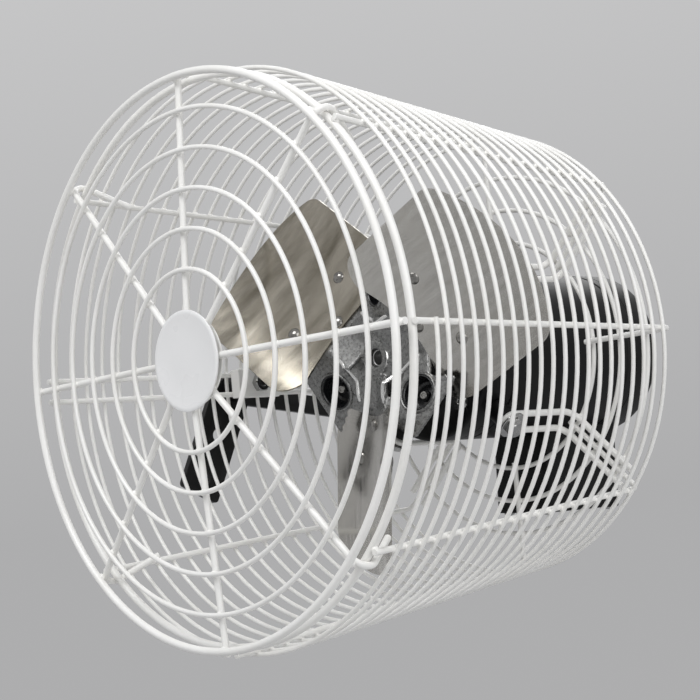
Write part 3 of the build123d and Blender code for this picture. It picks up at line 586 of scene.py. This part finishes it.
motor = {
    "turn": -3, "radius": 61,
    "shellHalf": [
        (58.6, 0), (60.5, 0), (61, 0.5), (61, 9), (60.3, 9.8), (60.3, 11.2), (61, 12),
    ],
    "boltRadius": 48, "boltFlats": 12, "boltTurn": 20, "boltTurnStep": 31,
    "bolt": [
        (0, 0), (6.2, 0), (6.9, 0.5), (6.9, 3.2), (5.9, 3.9), (2, 3.9), (1.7, 3.6), (0, 3.6),
    ],
    "shaft": {
        "front": [(0, 12), (5, 11), (5, 0.3), (5.6, 0), (6.35, 0.7)],
        "back": [(6.35, 0.7), (5.6, 0), (0, 0)],
    },
}
motorFront, motorRear = depthsOf("motor_front_bell")[0], depthsOf("motor_rear_bell")[1]
frontJoint, rearJoint = depthsOf("motor_shell")
armHalf = arms["spacing"] / 2
eyeDepth = motorFront + arms["inset"] + armHalf
armDepth = rearRingDepth - rearRingHalf - arms["wire"] / 2 - gap


def armRoute(turn):
    legs = [
        bentRoute([
            place(arms["outerRadius"], turn, armDepth, side),
            place(arms["radius"], turn, armDepth, side),
            place(arms["radius"], turn, eyeDepth, side),
        ], arms["bend"])
        for side in (-armHalf, armHalf)
    ]
    angles = [pi * step / arms["eyeSteps"] for step in range(1, arms["eyeSteps"])]
    eye = [
        place(arms["radius"], turn, eyeDepth - armHalf * sin(angle), -armHalf * cos(angle))
        for angle in angles
    ]
    return legs[0] + eye + legs[1][::-1]


for name, turn in zip(arms["names"], cage["slantedTurns"]):
    wirePiece(name, [armRoute(turn)], arms["wire"], 5)

spacerBase, spacerTop = motor["radius"] + gap, arms["radius"] - arms["wire"] / 2 - gap
washerBase = arms["radius"] + arms["wire"] / 2 + gap
washerTop = washerBase + armBolt["washerThick"]
boltSeat = washerTop + gap
boltTop = boltSeat + armBolt["headHeight"]
spacerParts, washerParts, boltParts = [], [], []
for turn in cage["slantedTurns"]:
    axis = place(0, turn, eyeDepth), outward(turn), rearward
    about, hexAbout = spotsAbout(*axis), hexSpots(*axis, armBolt["flats"])
    spacerParts.append(lathe(armBolt["spacer"], about, 48, spacerBase, spacerTop))
    washerParts.append(lathe(armBolt["washer"], about, 48, washerBase, washerTop))
    boltParts.append(lathe(armBolt["head"], hexAbout, 72, boltSeat, boltTop))
    boltParts.append(lathe(armBolt["shank"], about, 32, spacerBase, boltSeat))
joinParts("motorSupportSpacers", spacerParts, "motorPaint", "cage", "black_paint")
joinParts("motorSupportWashers", washerParts, *zinc)
joinParts("motorSupportBolts", boltParts, *zinc)
print("motor supports ready")

# Weld beads where the wires cross
weld = {
    "uneven": 0.22, "lumpScale": 1.7, "variety": 300, "flatten": 0.3, "innerRing": 2.5,
    "outerRing": 3.2, "plate": 2.2,
    "plateRadii": [24, 27.5],
    "plateSink": 2.1, "frontRing": 2.8, "coil": 2.1, "coilLift": 1.9, "rearRing": 2.3,
    "arm": 2.6, "armSink": 1.4, "mountDegrees": 3.2,
}


def weldBeads(name, beads):
    # Small uneven lumps; each bead is a spot, a radius and the way that it is flattened.
    mesh = bmesh.new()
    for spot, radius, flatWay in beads:
        for vert in bmesh.ops.create_icosphere(mesh, subdivisions=2, radius=1)["verts"]:
            lump = noise.noise(vert.co * weld["lumpScale"] + spot * weld["variety"])
            reach = vert.co * radius * millimetre * (1 + weld["uneven"] * lump)
            reach -= flatWay * reach.dot(flatWay) * weld["flatten"]
            vert.co = spot + reach
    finishPiece(meshPiece(name, mesh), *white)


def addBead(beads, size, flatWay, *where):
    beads.append((place(*where), weld[size], flatWay))


grilleBeads, cageBeads = [], []
for turn in grille["straightTurns"] + grille["hookTurns"]:
    for radius in grille["innerRadii"]:
        depth = spokeDepth(radius) - innerLift / 2
        addBead(grilleBeads, "innerRing", rearward, radius, turn, depth)
    addBead(grilleBeads, "outerRing", rearward, grille["ringRadius"], turn, spokeRimDepth / 2)
    for radius in weld["plateRadii"]:
        depth = spokeDepth(radius) + weld["plateSink"]
        addBead(grilleBeads, "plate", rearward, radius, turn, depth)
crossings = [(turn, 0) for turn in rodTurns]
crossings += [(cage["mountTurn"], aside) for aside in mountAsides]
frontBeadRadius = (cage["ringRadius"] + rodFrontRadius) / 2
rearBeadDepth = (cage["rearDepth"] + rearRingDepth) / 2
for turn, aside in crossings:
    out = outward(turn)
    addBead(cageBeads, "frontRing", out, frontBeadRadius, turn, cage["ringDepth"], aside)
    turns = (winding["startTurn"] - turn - aside / weld["mountDegrees"]) / 360 % 1
    while turns <= winding["turns"]:
        depth = windingDepth(turns)
        addBead(cageBeads, "coil", out, rodRadius(depth) + weld["coilLift"], turn, depth, aside)
        turns += 1
    for radius in cage["rearRadii"]:
        addBead(cageBeads, "rearRing", rearward, radius, turn, rearBeadDepth, aside)
for turn in cage["slantedTurns"]:
    for aside in (-armHalf, armHalf):
        for radius in cage["rearRadii"]:
            depth = rearRingDepth - weld["armSink"]
            addBead(cageBeads, "arm", rearward, radius, turn, depth, aside)
weldBeads("grilleWelds", grilleBeads)
weldBeads("cageWelds", cageBeads)
print("welds ready")

# Motor
shellShape = {"front": motor["shellHalf"], "back": motor["shellHalf"][::-1]}
shellPart = lathe(shellShape, fanSpots, 144, frontJoint, rearJoint)
joinParts("motorShell", [shellPart], "motorPaint", "cage", "black_paint")

bell = {
    "face": [
        (6.9, 5), (6.9, 0.7), (7.6, 0), (16.5, 0), (17.6, 0.9), (21, 1.3), (41, 1.3),
        (43, 0.1), (57.6, 0), (59.6, 0.5), (60.6, 1.5), (61, 2.9),
    ],
    "rim": [(61, -0.5), (60.5, 0), (58.3, 0), (58.3, 4), (53.2, 4)],
    "inside": [(53.2, 5), (19.3, 5), (19.3, 12.9), (14.5, 12.9), (14.5, 5)],
}


def bellPiece(name, face, joint):
    # Cast end bell; its rim is measured from the joint with the shell, the rest from its face.
    way = 1 if joint > face else -1
    profile = [
        (radius, start + way * inset)
        for part, start in (("face", face), ("rim", joint), ("inside", face))
        for radius, inset in bell[part]
    ]
    joinParts(name, [lathe(profile, fanSpots, 144)], "motorPaint", "cage", "bell_cast")


bellPiece("motorFrontBell", motorFront, frontJoint - gap)
bellPiece("motorRearBell", motorRear, rearJoint + gap)

boltParts = []
for corner in range(4):
    origin = place(motor["boltRadius"], motor["turn"] + 45 + 90 * corner, motorFront - gap)
    turned = outward(motor["boltTurn"] + motor["boltTurnStep"] * corner)
    about = hexSpots(origin, -rearward, turned, motor["boltFlats"])
    boltParts.append(lathe(motor["bolt"], about, 72))
joinParts("motorThroughBolts", boltParts, *zinc)

shaftPart = lathe(motor["shaft"], fanSpots, 64, *depthsOf("motor_shaft"))
joinParts("motorShaft", [shaftPart], "steelMetal", "rotor", "steel")
for node in ("motor_stator", "motor_rotor", "motor_front_bearing", "motor_rear_bearing"):
    nodes[node].material_slots[0].material = bpy.data.materials["steelMetal"]
print("motor ready")

# Terminal box under the motor
box = {
    "bottom": 115.5, "lid": 3, "screwAside": 20, "screwAlong": 34,
    "edges": {"terminalBox": 1, "terminalBoxLid": 0.9},
    "screw": [
        (0, 0), (3.7, 0), (4, 0.4), (3.9, 1), (3.3, 1.6), (2.2, 1.95), (1.1, 2), (0.9, 1.3),
        (0, 1.2),
    ],
}
gland = {
    "radius": 11,
    "base": [(4.5, 0), (10.4, 0), (11, 0.6), (11, 7.2), (10.3, 8), (4.5, 8)],
    "nut": [(4.5, 8), (8.2, 8), (8.2, 12.5), (7.6, 14.6), (6.2, 15.9), (5.2, 16), (4.5, 15.4)],
    "fingers": 12, "fingerHeight": 0.035, "fingersFrom": 6,
}
for name, edge in box["edges"].items():
    copied = roundEdges(nodeCopy(name), edge, segments=3)
    finishPiece(copied, "boxPaint", "cage", "black_box")
boxFront, boxRear = depthsOf("terminal_box")
lidDrop = box["bottom"] + box["lid"] + 2 * gap
screwParts = []
for side in (-1, 1):
    for end in (-1, 1):
        depth = (boxFront + boxRear) / 2 + end * box["screwAlong"]
        origin = place(side * box["screwAside"], motor["turn"], depth, -lidDrop)
        about = spotsAbout(origin, -acrossOf(motor["turn"]), rearward)
        screwParts.append(lathe(box["screw"], about, 40))
joinParts("lidScrews", screwParts, *zinc)

glandOrigin = place(0, motor["turn"], boxRear + gap, -(box["bottom"] + motor["radius"]) / 2)
glandRound = spotsAbout(glandOrigin, rearward, outward(motor["turn"]))
glandFlats = gland["radius"] * 2 * cos(pi / 6)
glandHex = hexSpots(glandOrigin, rearward, outward(motor["turn"]), glandFlats)


def fingerSpots(radius, angle, along):
    # The gland's nut has fingers moulded round it.
    if radius > gland["fingersFrom"]:
        radius *= 1 + gland["fingerHeight"] * cos(gland["fingers"] * angle)
    return glandRound(radius, angle, along)


glandParts = [lathe(gland["base"], glandHex, 72), lathe(gland["nut"], fingerSpots, 96)]
joinParts("cableGland", glandParts, "glandPlastic", "cage", "black_nylon")
print("terminal box ready")

# Fan wheel
blade = {
    "turns": [22.9, 142.9, 262.9],
    "tipRadius": 152.4, "frontHalf": 53, "rearHalf": 61, "middleDepth": 158.2,
    "rearDepth": 177.5, "frontDepth": 121, "shoulder": 133, "sheet": 1.6, "edge": 0.3,
    "tipCorner": 14, "waist": 41, "horn": 32, "hornFront": 38, "hornRear": 45,
    "rootFront": 50, "rootRear": 60, "acrossSteps": 96, "alongSteps": 60,
    "grainSize": 100,
    # The left blade's darker, warmer finish is painted reflection; all three blades are the same
    # sheet.
    "finishes": {
        "rightBlade": "bladeMetal", "leftBlade": "warmBladeMetal", "lowerBlade": "bladeMetal",
    },
}


def circleThrough(start, through, end):
    # Centre and radius of the circle through three flat points.
    corners = (start, through, end)
    rises = (through[1] - end[1], end[1] - start[1], start[1] - through[1])
    runs = (end[0] - through[0], start[0] - end[0], through[0] - start[0])
    squares = [corner[0] ** 2 + corner[1] ** 2 for corner in corners]
    span = 2 * sum(corner[0] * rise for corner, rise in zip(corners, rises))
    middle = (
        sum(square * rise for square, rise in zip(squares, rises)) / span,
        sum(square * run for square, run in zip(squares, runs)) / span,
    )
    return middle, hypot(start[0] - middle[0], start[1] - middle[1])


curveMiddle, curveRadius = circleThrough(
    (blade["frontHalf"], blade["frontDepth"]),
    (0, blade["middleDepth"]),
    (-blade["rearHalf"], blade["rearDepth"]),
)


def curveDepth(lift, across):
    # Depth of the curved sheet at a distance across it, that far behind its front face.
    return curveMiddle[1] + sqrt((curveRadius + lift) ** 2 - (across - curveMiddle[0]) ** 2)


def arcPoints(start, through, end, steps=14):
    middle, radius = circleThrough(start, through, end)
    angles = [atan2(spot[1] - middle[1], spot[0] - middle[0]) for spot in (start, through, end)]
    turns = [later - earlier for earlier, later in zip(angles, angles[1:])]
    sweep = sum(remainder(turn, 2 * pi) for turn in turns)
    return [
        (
            middle[0] + radius * cos(angles[0] + sweep * step / steps),
            middle[1] + radius * sin(angles[0] + sweep * step / steps),
        )
        for step in range(steps + 1)
    ]


# Outline of a blade, as (radius, across) pairs: its root edge, and the arc of its tip
front, rear = blade["frontHalf"], -blade["rearHalf"]
rootFront, rootRear = (blade["rootFront"], front), (blade["rootRear"], rear)
hornFront, hornRear = (blade["horn"], blade["hornFront"]), (blade["horn"], -blade["hornRear"])


def cornerThrough(root, horn):
    return ((root[0] + 2 * horn[0]) / 3, (2 * root[1] + horn[1]) / 3)


rootEdge = arcPoints(rootRear, cornerThrough(rootRear, hornRear), hornRear)
rootEdge += arcPoints(hornRear, (blade["waist"], 0), hornFront)
rootEdge += arcPoints(hornFront, cornerThrough(rootFront, hornFront), rootFront)
tipMiddle, tipArc = circleThrough(
    (blade["shoulder"], rear),
    (blade["tipRadius"], (front + rear) / 2),
    (blade["shoulder"], front),
)


def rootRadiusAt(across):
    for before, after in zip(rootEdge, rootEdge[1:]):
        if before[1] <= across <= after[1] and after[1] > before[1]:
            share = (across - before[1]) / (after[1] - before[1])
            return before[0] + (after[0] - before[0]) * share
    return blade["rootRear"] if across < 0 else blade["rootFront"]


def tipRadiusAt(across):
    corner = blade["tipCorner"]
    for edge, way in ((front, 1), (rear, -1)):
        cornerAcross = edge - way * corner
        fromMiddle = cornerAcross - tipMiddle[1]
        meets = tipMiddle[1] + fromMiddle * tipArc / (tipArc - corner)
        if (across - meets) * way > 0:
            cornerPlace = tipMiddle[0] + sqrt((tipArc - corner) ** 2 - fromMiddle**2)
            return cornerPlace + sqrt(max(0, corner**2 - (across - cornerAcross) ** 2))
    return tipMiddle[0] + sqrt(tipArc**2 - (across - tipMiddle[1]) ** 2)


def bladePiece(name, turn):
    # A curved sheet over a grid of points, with its rim closed and its grain in the UV map.
    rows, columns = blade["acrossSteps"], blade["alongSteps"]
    mesh = bmesh.new()
    grain = mesh.loops.layers.uv.new("grain")
    skins = []
    for lift in (0, blade["sheet"]):
        skin = []
        for row in range(rows + 1):
            across = (front + rear) / 2 - (front - rear) / 2 * cos(pi * row / rows)
            depth = curveDepth(0, across)
            lean = Vector((across - curveMiddle[0], depth - curveMiddle[1])) / curveRadius
            spots = []
            for column in range(columns + 1):
                share = column / columns
                radius = rootRadiusAt(across) * (1 - share) + tipRadiusAt(across) * share
                spot = place(radius, turn, depth + lean.y * lift, across + lean.x * lift)
                spots.append((mesh.verts.new(spot), radius, across))
            skin.append(spots)
        skins.append(skin)

    def addFace(corners):
        face = mesh.faces.new([corner[0] for corner in corners])
        for loop, (_, radius, across) in zip(face.loops, corners):
            loop[grain].uv = (radius / blade["grainSize"], across / blade["grainSize"])

    for skin in skins:
        for here, there in zip(skin, skin[1:]):
            for column in range(columns):
                addFace((here[column], there[column], there[column + 1], here[column + 1]))
    border = [(row, 0) for row in range(rows)] + [(rows, column) for column in range(columns)]
    border += [(row, columns) for row in range(rows, 0, -1)]
    border += [(0, column) for column in range(columns, 0, -1)]
    for (row, column), (nextRow, nextColumn) in zip(border, border[1:] + border[:1]):
        addFace((
            skins[0][row][column],
            skins[0][nextRow][nextColumn],
            skins[1][nextRow][nextColumn],
            skins[1][row][column],
        ))
    bmesh.ops.recalc_face_normals(mesh, faces=mesh.faces)
    return roundEdges(meshPiece(name, mesh), blade["edge"], segments=2, angle=60)


for (name, finish), turn in zip(blade["finishes"].items(), blade["turns"]):
    finishPiece(bladePiece(name, turn), finish, "rotor", "blade_sheet")
print("blades ready")

spider = {
    "sheet": 3.2, "rootHalf": 18, "voxel": 1, "eyePlace": 48.6, "eyeJoin": 40,
    "eyeTurn": 60,
    "eyeRim": [
        (12.9, -1.9), (12.9, 1.9), (13.2, 2.6), (13.8, 2.9), (14.4, 2.6), (14.9, 1.9),
        (15, 1.2), (15, -1.2), (14.2, -2.2), (13.5, -2.4),
    ],
    "plug": [
        (0, -6.2), (3.4, -6.2), (3.8, -6.8), (4, -9), (8.6, -9.6), (10.4, -8.6), (11.2, -6),
        (11.4, 1.4), (11.9, 2.1), (12.6, 2), (12.8, 1.4), (12.8, -8.6), (11.6, -10.8),
        (9, -11.6), (0, -11.6),
    ],
    "pin": [
        (0, -4.9), (1.2, -4.9), (1.4, -4.5), (2.6, -4.6), (3.2, -5.2), (3.2, -6.3), (0, -6.3),
    ],
    "bossFront": 158.5,
    "bossRim": [
        (6.45, 8), (6.5, 1.6), (7, 0.5), (8, 0.1), (9.4, 0.3), (10.2, 0.9), (10.9, 0.9),
        (11.8, 0.3), (12.4, 1.2), (12.5, 2.6), (12.5, 8), (9, 8.4),
    ],
}
casting = nodeCopy("fanSpider")
remesh = casting.modifiers.new("cast", "REMESH")
remesh.mode = "VOXEL"
remesh.voxel_size = spider["voxel"] * millimetre
remesh.use_smooth_shade = True
settle = casting.modifiers.new("settle", "SMOOTH")
settle.factor = 0.5
settle.iterations = 2
graph = bpy.context.evaluated_depsgraph_get()
castMesh = bpy.data.meshes.new_from_object(casting.evaluated_get(graph))
casting.modifiers.clear()
plainMesh, casting.data = casting.data, castMesh
bpy.data.meshes.remove(plainMesh)
finishPiece(casting, "spiderMetal", "rotor", "spider_cast")
castSurface = BVHTree.FromObject(casting, bpy.context.evaluated_depsgraph_get())

# Each eye leans with the webs that join at it
webMiddle = blade["sheet"] + gap + spider["sheet"] / 2
eyeFront = curveDepth(webMiddle, spider["rootHalf"])
eyeRear = curveDepth(webMiddle, -spider["rootHalf"])
eyeLean = atan2(spider["rootHalf"], spider["eyeJoin"])
eyeHalf = hypot(spider["rootHalf"], spider["eyeJoin"]) * sin(pi / 3 - eyeLean)
eyeTilt = atan2(eyeRear - eyeFront, 2 * eyeHalf)
eyeTurns = [turn + spider["eyeTurn"] for turn in blade["turns"]]
rimParts, plugParts, pinParts = [], [], []
for turn in eyeTurns:
    origin = place(spider["eyePlace"], turn, (eyeFront + eyeRear) / 2)
    facing = acrossOf(turn) * sin(eyeTilt) - rearward * cos(eyeTilt)
    about = spotsAbout(origin, facing, outward(turn))
    rimParts.append(lathe(spider["eyeRim"], about, 72))
    plugParts.append(lathe(spider["plug"], about, 72))
    pinParts.append(lathe(spider["pin"], about, 36))
joinParts("eyeRims", rimParts, "spiderMetal", "rotor", "spider_cast")
bossPart = lathe(spider["bossRim"], fanSpots, 72, spider["bossFront"])
joinParts("bossRim", [bossPart], "rimMetal", "rotor", "spider_cast")
joinParts("eyePlugs", plugParts, "plugRubber", "rotor", "spider_cast")
joinParts("plugPins", pinParts, "rivetMetal", "rotor", "steel")

# A raised flange curves round the hub side of each eye
flange = {
    "stations": [
        (-33, 35.5), (-26, 28.5), (-17, 24.6), (-4, 24.4), (9, 26.6), (20, 30.8), (29, 36.4),
    ],
    "spanSteps": 8, "thick": 2.8, "proud": 1.5, "buried": 1.6,
    "section": [(-1, 0.9), (-0.6, 0.2), (0, 0), (0.6, 0.2), (1, 0.9)],
    "castFrom": 130, "nearSpan": 5, "levelSpan": 7, "taperSpan": 5,
}


def smoothBetween(before, start, end, after, share):
    # Runs from start to end in line with the stations on either side.
    bend = 2 * before - 5 * start + 4 * end - after
    ease = 3 * start - before - 3 * end + after
    return 0.5 * (2 * start + (end - before) * share + bend * share**2 + ease * share**3)


# A smooth line through the stations, as (turn from the eye, radius) pairs
stations = flange["stations"]
padded = stations[:1] + stations + stations[-1:]
flangeLine = [
    tuple(smoothBetween(*values, step / flange["spanSteps"]) for values in zip(*around))
    for around in zip(padded, padded[1:], padded[2:], padded[3:])
    for step in range(flange["spanSteps"])
] + stations[-1:]


def flangePart(eyeTurn):
    # A rib along the line, whose crest stands just proud of the casting.
    rows = []
    for offset, radius in flangeLine:
        spot = place(radius, eyeTurn + offset, 0)
        start = spot + rearward * flange["castFrom"] * millimetre
        hit = castSurface.ray_cast(start, rearward)[0]
        if hit:
            rows.append((spot, (hit.y - fanCentre.y) / millimetre))
    last = len(rows) - 1
    near, level = flange["nearSpan"], flange["levelSpan"]
    depths = [depth for _, depth in rows]
    nearest = [min(depths[max(row - near, 0):row + near + 1]) for row in range(last + 1)]
    mesh = bmesh.new()
    rings = []
    for row, (spot, depth) in enumerate(rows):
        around = nearest[max(row - level, 0):row + level + 1]
        fromEnd = min(row, last - row) / flange["taperSpan"]
        crest = min(sum(around) / len(around), depth) - flange["proud"] * min(1, fromEnd)
        along = (rows[min(row + 1, last)][0] - rows[max(row - 1, 0)][0]).normalized()
        side = Vector((along.z, 0, -along.x)) * flange["thick"] / 2 * millimetre
        base = depth + flange["buried"]
        section = [(share, crest + drop) for share, drop in flange["section"]]
        rings.append([
            mesh.verts.new(spot + side * share + rearward * height * millimetre)
            for share, height in [(-1, base)] + section + [(1, base)]
        ])
    for first, second in zip(rings, rings[1:]):
        for here in range(len(first)):
            there = (here + 1) % len(first)
            mesh.faces.new((first[here], first[there], second[there], second[here]))
    mesh.faces.new(rings[0])
    mesh.faces.new(rings[-1][::-1])
    bmesh.ops.recalc_face_normals(mesh, faces=mesh.faces)
    return meshPiece("part", mesh)


# The flanges' near-white metal is painted highlight for their lit edges.
flangeParts = [flangePart(turn) for turn in eyeTurns]
joinParts("eyeFlanges", flangeParts, "rimMetal", "rotor", "spider_cast")

rivet = {
    "spots": [(47.5, -2.4), (71.5, -25.9), (71.5, 21.1)],
    "grip": 5,
    "front": [
        (0, 2.3), (1.2, 2.22), (2.4, 1.92), (3.4, 1.4), (4.2, 0.7), (4.55, 0.25), (4.5, 0.02),
        (2.5, 0),
    ],
    "back": [(2.5, 0), (3.6, 0.05), (3.85, 0.5), (3.4, 1.2), (2.2, 1.55), (0, 1.6)],
}
rivetParts = []
for turn in blade["turns"]:
    for radius, across in rivet["spots"]:
        depth = curveDepth(0, across)
        lean = atan2(across - curveMiddle[0], depth - curveMiddle[1])
        facing = -(acrossOf(turn) * sin(lean) + rearward * cos(lean))
        about = spotsAbout(place(radius, turn, depth, across), facing, outward(turn))
        rivetParts.append(lathe(rivet, about, 48, 0, -rivet["grip"]))
joinParts("bladeRivets", rivetParts, "rivetMetal", "rotor", "blade_sheet")

setScrew = {
    "radius": 6.43, "depth": 180,
    "profile": [
        (0, 0.1), (2.6, 0.1), (3, 0.5), (3, 5.4), (2.6, 5.9), (1.6, 5.9), (1.5, 3.4), (0, 3.2),
    ],
}
screwOrigin = place(setScrew["radius"], eyeTurns[0], setScrew["depth"])
about = spotsAbout(screwOrigin, outward(eyeTurns[0]), rearward)
screwPart = lathe(setScrew["profile"], about, 36)
joinParts("hubSetScrew", [screwPart], "steelMetal", "rotor", "steel")
print("fan wheel ready")

# Side arm and its pivot
pivot = {
    "edges": {
        "sideArm": (0.7, 3, "blackPaint", "mount", "black_paint"),
        "pivotClamp": (0.9, 3, *white),
        "pivotSpacer": (0.4, 2, "blackPaint", "cage", "black_paint"),
    },
    "flats": 12.8, "headHeight": 5.12,
    "head": {
        "front": [(0, 0.3), (3, 0.3), (3.3, 0), (6.2, 0), (7.39, 0.8)],
        "back": [(7.39, 0.3), (6.6, 0), (0, 0)],
    },
    "shankRadius": 4, "threadRoot": 3.55, "threadPitch": 1.25, "threadFlank": 0.55,
    "threadLength": 16, "threadEnd": 1.4, "endRadius": 3.3,
    "nut": {
        "front": [(4.2, 0.4), (4.9, 0), (6.3, 0), (7.39, 0.8)],
        "back": [(7.39, 0.8), (6.3, 0), (4.9, 0), (4.2, 0.5)],
    },
    "washer": {
        "front": [(4.3, 0), (11.6, 0), (12, 0.4)],
        "back": [(12, 0.5), (11.4, 0), (4.6, 0)],
    },
}
for name, (width, segments, *look) in pivot["edges"].items():
    finishPiece(roundEdges(nodeCopy(name), width, segments), *look)

leftward = Vector((-1, 0, 0))
boltLow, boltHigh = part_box("pivot_bolt")
axisSpot = Vector((0, (boltLow.y + boltHigh.y) / 2, (boltLow.z + boltHigh.z) / 2))
pivotRound = spotsAbout(axisSpot, leftward, upward)
pivotHex = hexSpots(axisSpot, leftward, upward, pivot["flats"])


def alongPivot(node):
    # Distances to the left of the row frame's origin.
    low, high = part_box(node)
    return -high.x / millimetre, -low.x / millimetre


def shankProfile(start, end):
    thread = [(0, start), (pivot["shankRadius"], start)]
    ridge = end - pivot["threadLength"]
    while ridge < end - pivot["threadEnd"]:
        thread += [
            (pivot["shankRadius"], ridge),
            (pivot["threadRoot"], ridge + pivot["threadFlank"]),
            (pivot["shankRadius"], ridge + 2 * pivot["threadFlank"]),
        ]
        ridge += pivot["threadPitch"]
    return thread + [(pivot["endRadius"], end), (0, end)]


headStart, boltEnd = alongPivot("pivot_bolt")
headEnd = headStart + pivot["headHeight"]
pivotParts = [
    lathe(pivot["head"], pivotHex, 72, headStart, headEnd),
    lathe(shankProfile(headEnd, boltEnd), pivotRound, 40),
]
joinParts("pivotBolt", pivotParts, *zinc)
nutPart = lathe(pivot["nut"], pivotHex, 72, *alongPivot("pivot_nut"))
joinParts("pivotNut", [nutPart], *zinc)
washerPart = lathe(pivot["washer"], pivotRound, 64, *alongPivot("pivot_washer"))
joinParts("pivotWasher", [washerPart], *zinc)
print("side arm ready")

# Camera at the photograph's place
camera = {
    "spot": (0.95734, -0.74685, -0.10687), "yaw": 0.82608, "pitch": 0.08628,
    "roll": -0.09157, "lens": 96.76, "sensor": 36, "clip": (0.05, 60),
}
yaw, pitch, roll = camera["yaw"], camera["pitch"], camera["roll"]
forward = Vector((-sin(yaw) * cos(pitch), cos(yaw) * cos(pitch), sin(pitch)))
right = Vector((cos(yaw), sin(yaw), 0))
up = right.cross(forward)
rolledRight = right * cos(roll) + up * sin(roll)
rolledUp = up * cos(roll) - right * sin(roll)
cameraData = bpy.data.cameras.new("camera")
cameraData.lens = camera["lens"]
cameraData.sensor_width = camera["sensor"]
cameraData.clip_start, cameraData.clip_end = camera["clip"]
viewer = linkPiece("camera", cameraData)
turnMatrix = Matrix((rolledRight, rolledUp, -forward)).transposed()
cameraSpot = fanCentre + Vector(camera["spot"])
viewer.matrix_world = Matrix.Translation(cameraSpot) @ turnMatrix.to_4x4()
scene.camera = viewer

# Floor, backdrop and lamps; their sizes are metres
stage = {
    "floorDrop": 0.35, "floorSize": 16, "floorColour": (0.50, 0.50, 0.50),
    "floorRough": 0.9, "horizon": (0.42, 0.42, 0.425), "upper": (0.57, 0.57, 0.575),
    "upperSlope": 0.3, "fadeFrom": 0.9, "fadeTo": 2.6, "ambient": (0.93, 0.95, 1),
    "ambientLevel": 0.42,
}
lamps = {
    "keyLamp": {"spot": (0.30, -1.45, 1.89), "size": (1.6, 1.2), "power": 33},
    "fillLamp": {"spot": (2, -0.3, 0.5), "size": (1.4, 1.8), "power": 17},
    "rearLamp": {"spot": (-0.9, 1.6, 1.3), "size": (1.4, 1.2), "power": 12},
}
half, level = stage["floorSize"] / 2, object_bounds()[0].z - stage["floorDrop"]
floorMesh = bpy.data.meshes.new("floor")
floorCorners = [(-half, -half), (half, -half), (half, half), (-half, half)]
floorMesh.from_pydata([(*corner, level) for corner in floorCorners], [], [(0, 1, 2, 3)])
floor = linkPiece("floor", floorMesh)
floorTree, floorShader = newMaterial("floorPaint")
floorShader.inputs["Base Color"].default_value = (*stage["floorColour"], 1)
floorShader.inputs["Roughness"].default_value = stage["floorRough"]
floorCoords = addNode(floorTree, "TexCoord")
floorReach = addNode(floorTree, "VectorMath")
floorReach.operation = "LENGTH"
fade = {"From Min": stage["fadeFrom"], "From Max": stage["fadeTo"]}
floorFade = addNode(floorTree, "MapRange", fade)
floorGlow = addNode(floorTree, "Emission", {"Color": (*stage["horizon"], 1)})
floorMix = addNode(floorTree, "MixShader")
linkSockets(
    floorTree,
    (floorCoords.outputs["Object"], floorReach.inputs[0]),
    (floorReach.outputs["Value"], floorFade.inputs["Value"]),
    (floorFade.outputs["Result"], floorMix.inputs["Fac"]),
    (floorShader.outputs[0], floorMix.inputs[1]),
    (floorGlow.outputs[0], floorMix.inputs[2]),
    (floorMix.outputs[0], floorTree.nodes["Material Output"].inputs["Surface"]),
)
floorMesh.materials.append(bpy.data.materials["floorPaint"])

# The world lights diffuse surfaces evenly; straight, in gloss and through glass it is grey
world = bpy.data.worlds.new("world")
scene.world = world
world.use_nodes = True
worldTree = world.node_tree
ambient = worldTree.nodes["Background"]
ambient.inputs["Color"].default_value = (*stage["ambient"], 1)
ambient.inputs["Strength"].default_value = stage["ambientLevel"]
seen = addNode(worldTree, "Background")
worldCoords = addNode(worldTree, "TexCoord")
worldWay = addNode(worldTree, "SeparateXYZ")
worldRise = addNode(worldTree, "MapRange", {"From Max": stage["upperSlope"]})
linkSockets(
    worldTree,
    (worldCoords.outputs["Generated"], worldWay.inputs["Vector"]),
    (worldWay.outputs["Z"], worldRise.inputs["Value"]),
)
horizon, upper = (0, stage["horizon"]), (1, stage["upper"])
worldShade = rampOf(worldTree, worldRise.outputs["Result"], horizon, upper)
paths = addNode(worldTree, "LightPath")
mixer = addNode(worldTree, "MixShader")
rayKinds = paths.outputs["Is Camera Ray"]
for kind in ("Is Glossy Ray", "Is Transmission Ray"):
    either = addNode(worldTree, "Math")
    either.operation = "MAXIMUM"
    linkSockets(worldTree, (rayKinds, either.inputs[0]), (paths.outputs[kind], either.inputs[1]))
    rayKinds = either.outputs[0]
linkSockets(
    worldTree,
    (worldShade, seen.inputs["Color"]),
    (rayKinds, mixer.inputs["Fac"]),
    (ambient.outputs[0], mixer.inputs[1]),
    (seen.outputs[0], mixer.inputs[2]),
    (mixer.outputs[0], worldTree.nodes["World Output"].inputs["Surface"]),
)

for name, lamp in lamps.items():
    lampData = bpy.data.lights.new(name, "AREA")
    lampData.shape = "RECTANGLE"
    lampData.size, lampData.size_y = lamp["size"]
    lampData.energy = lamp["power"]
    lampPiece = linkPiece(name, lampData)
    lampPiece.location = fanCentre + Vector(lamp["spot"])
    lampPiece.rotation_mode = "QUATERNION"
    lampPiece.rotation_quaternion = (-Vector(lamp["spot"])).to_track_quat("-Z", "Y")
scene.view_settings.view_transform = "Standard"
print("stage and lamps ready")
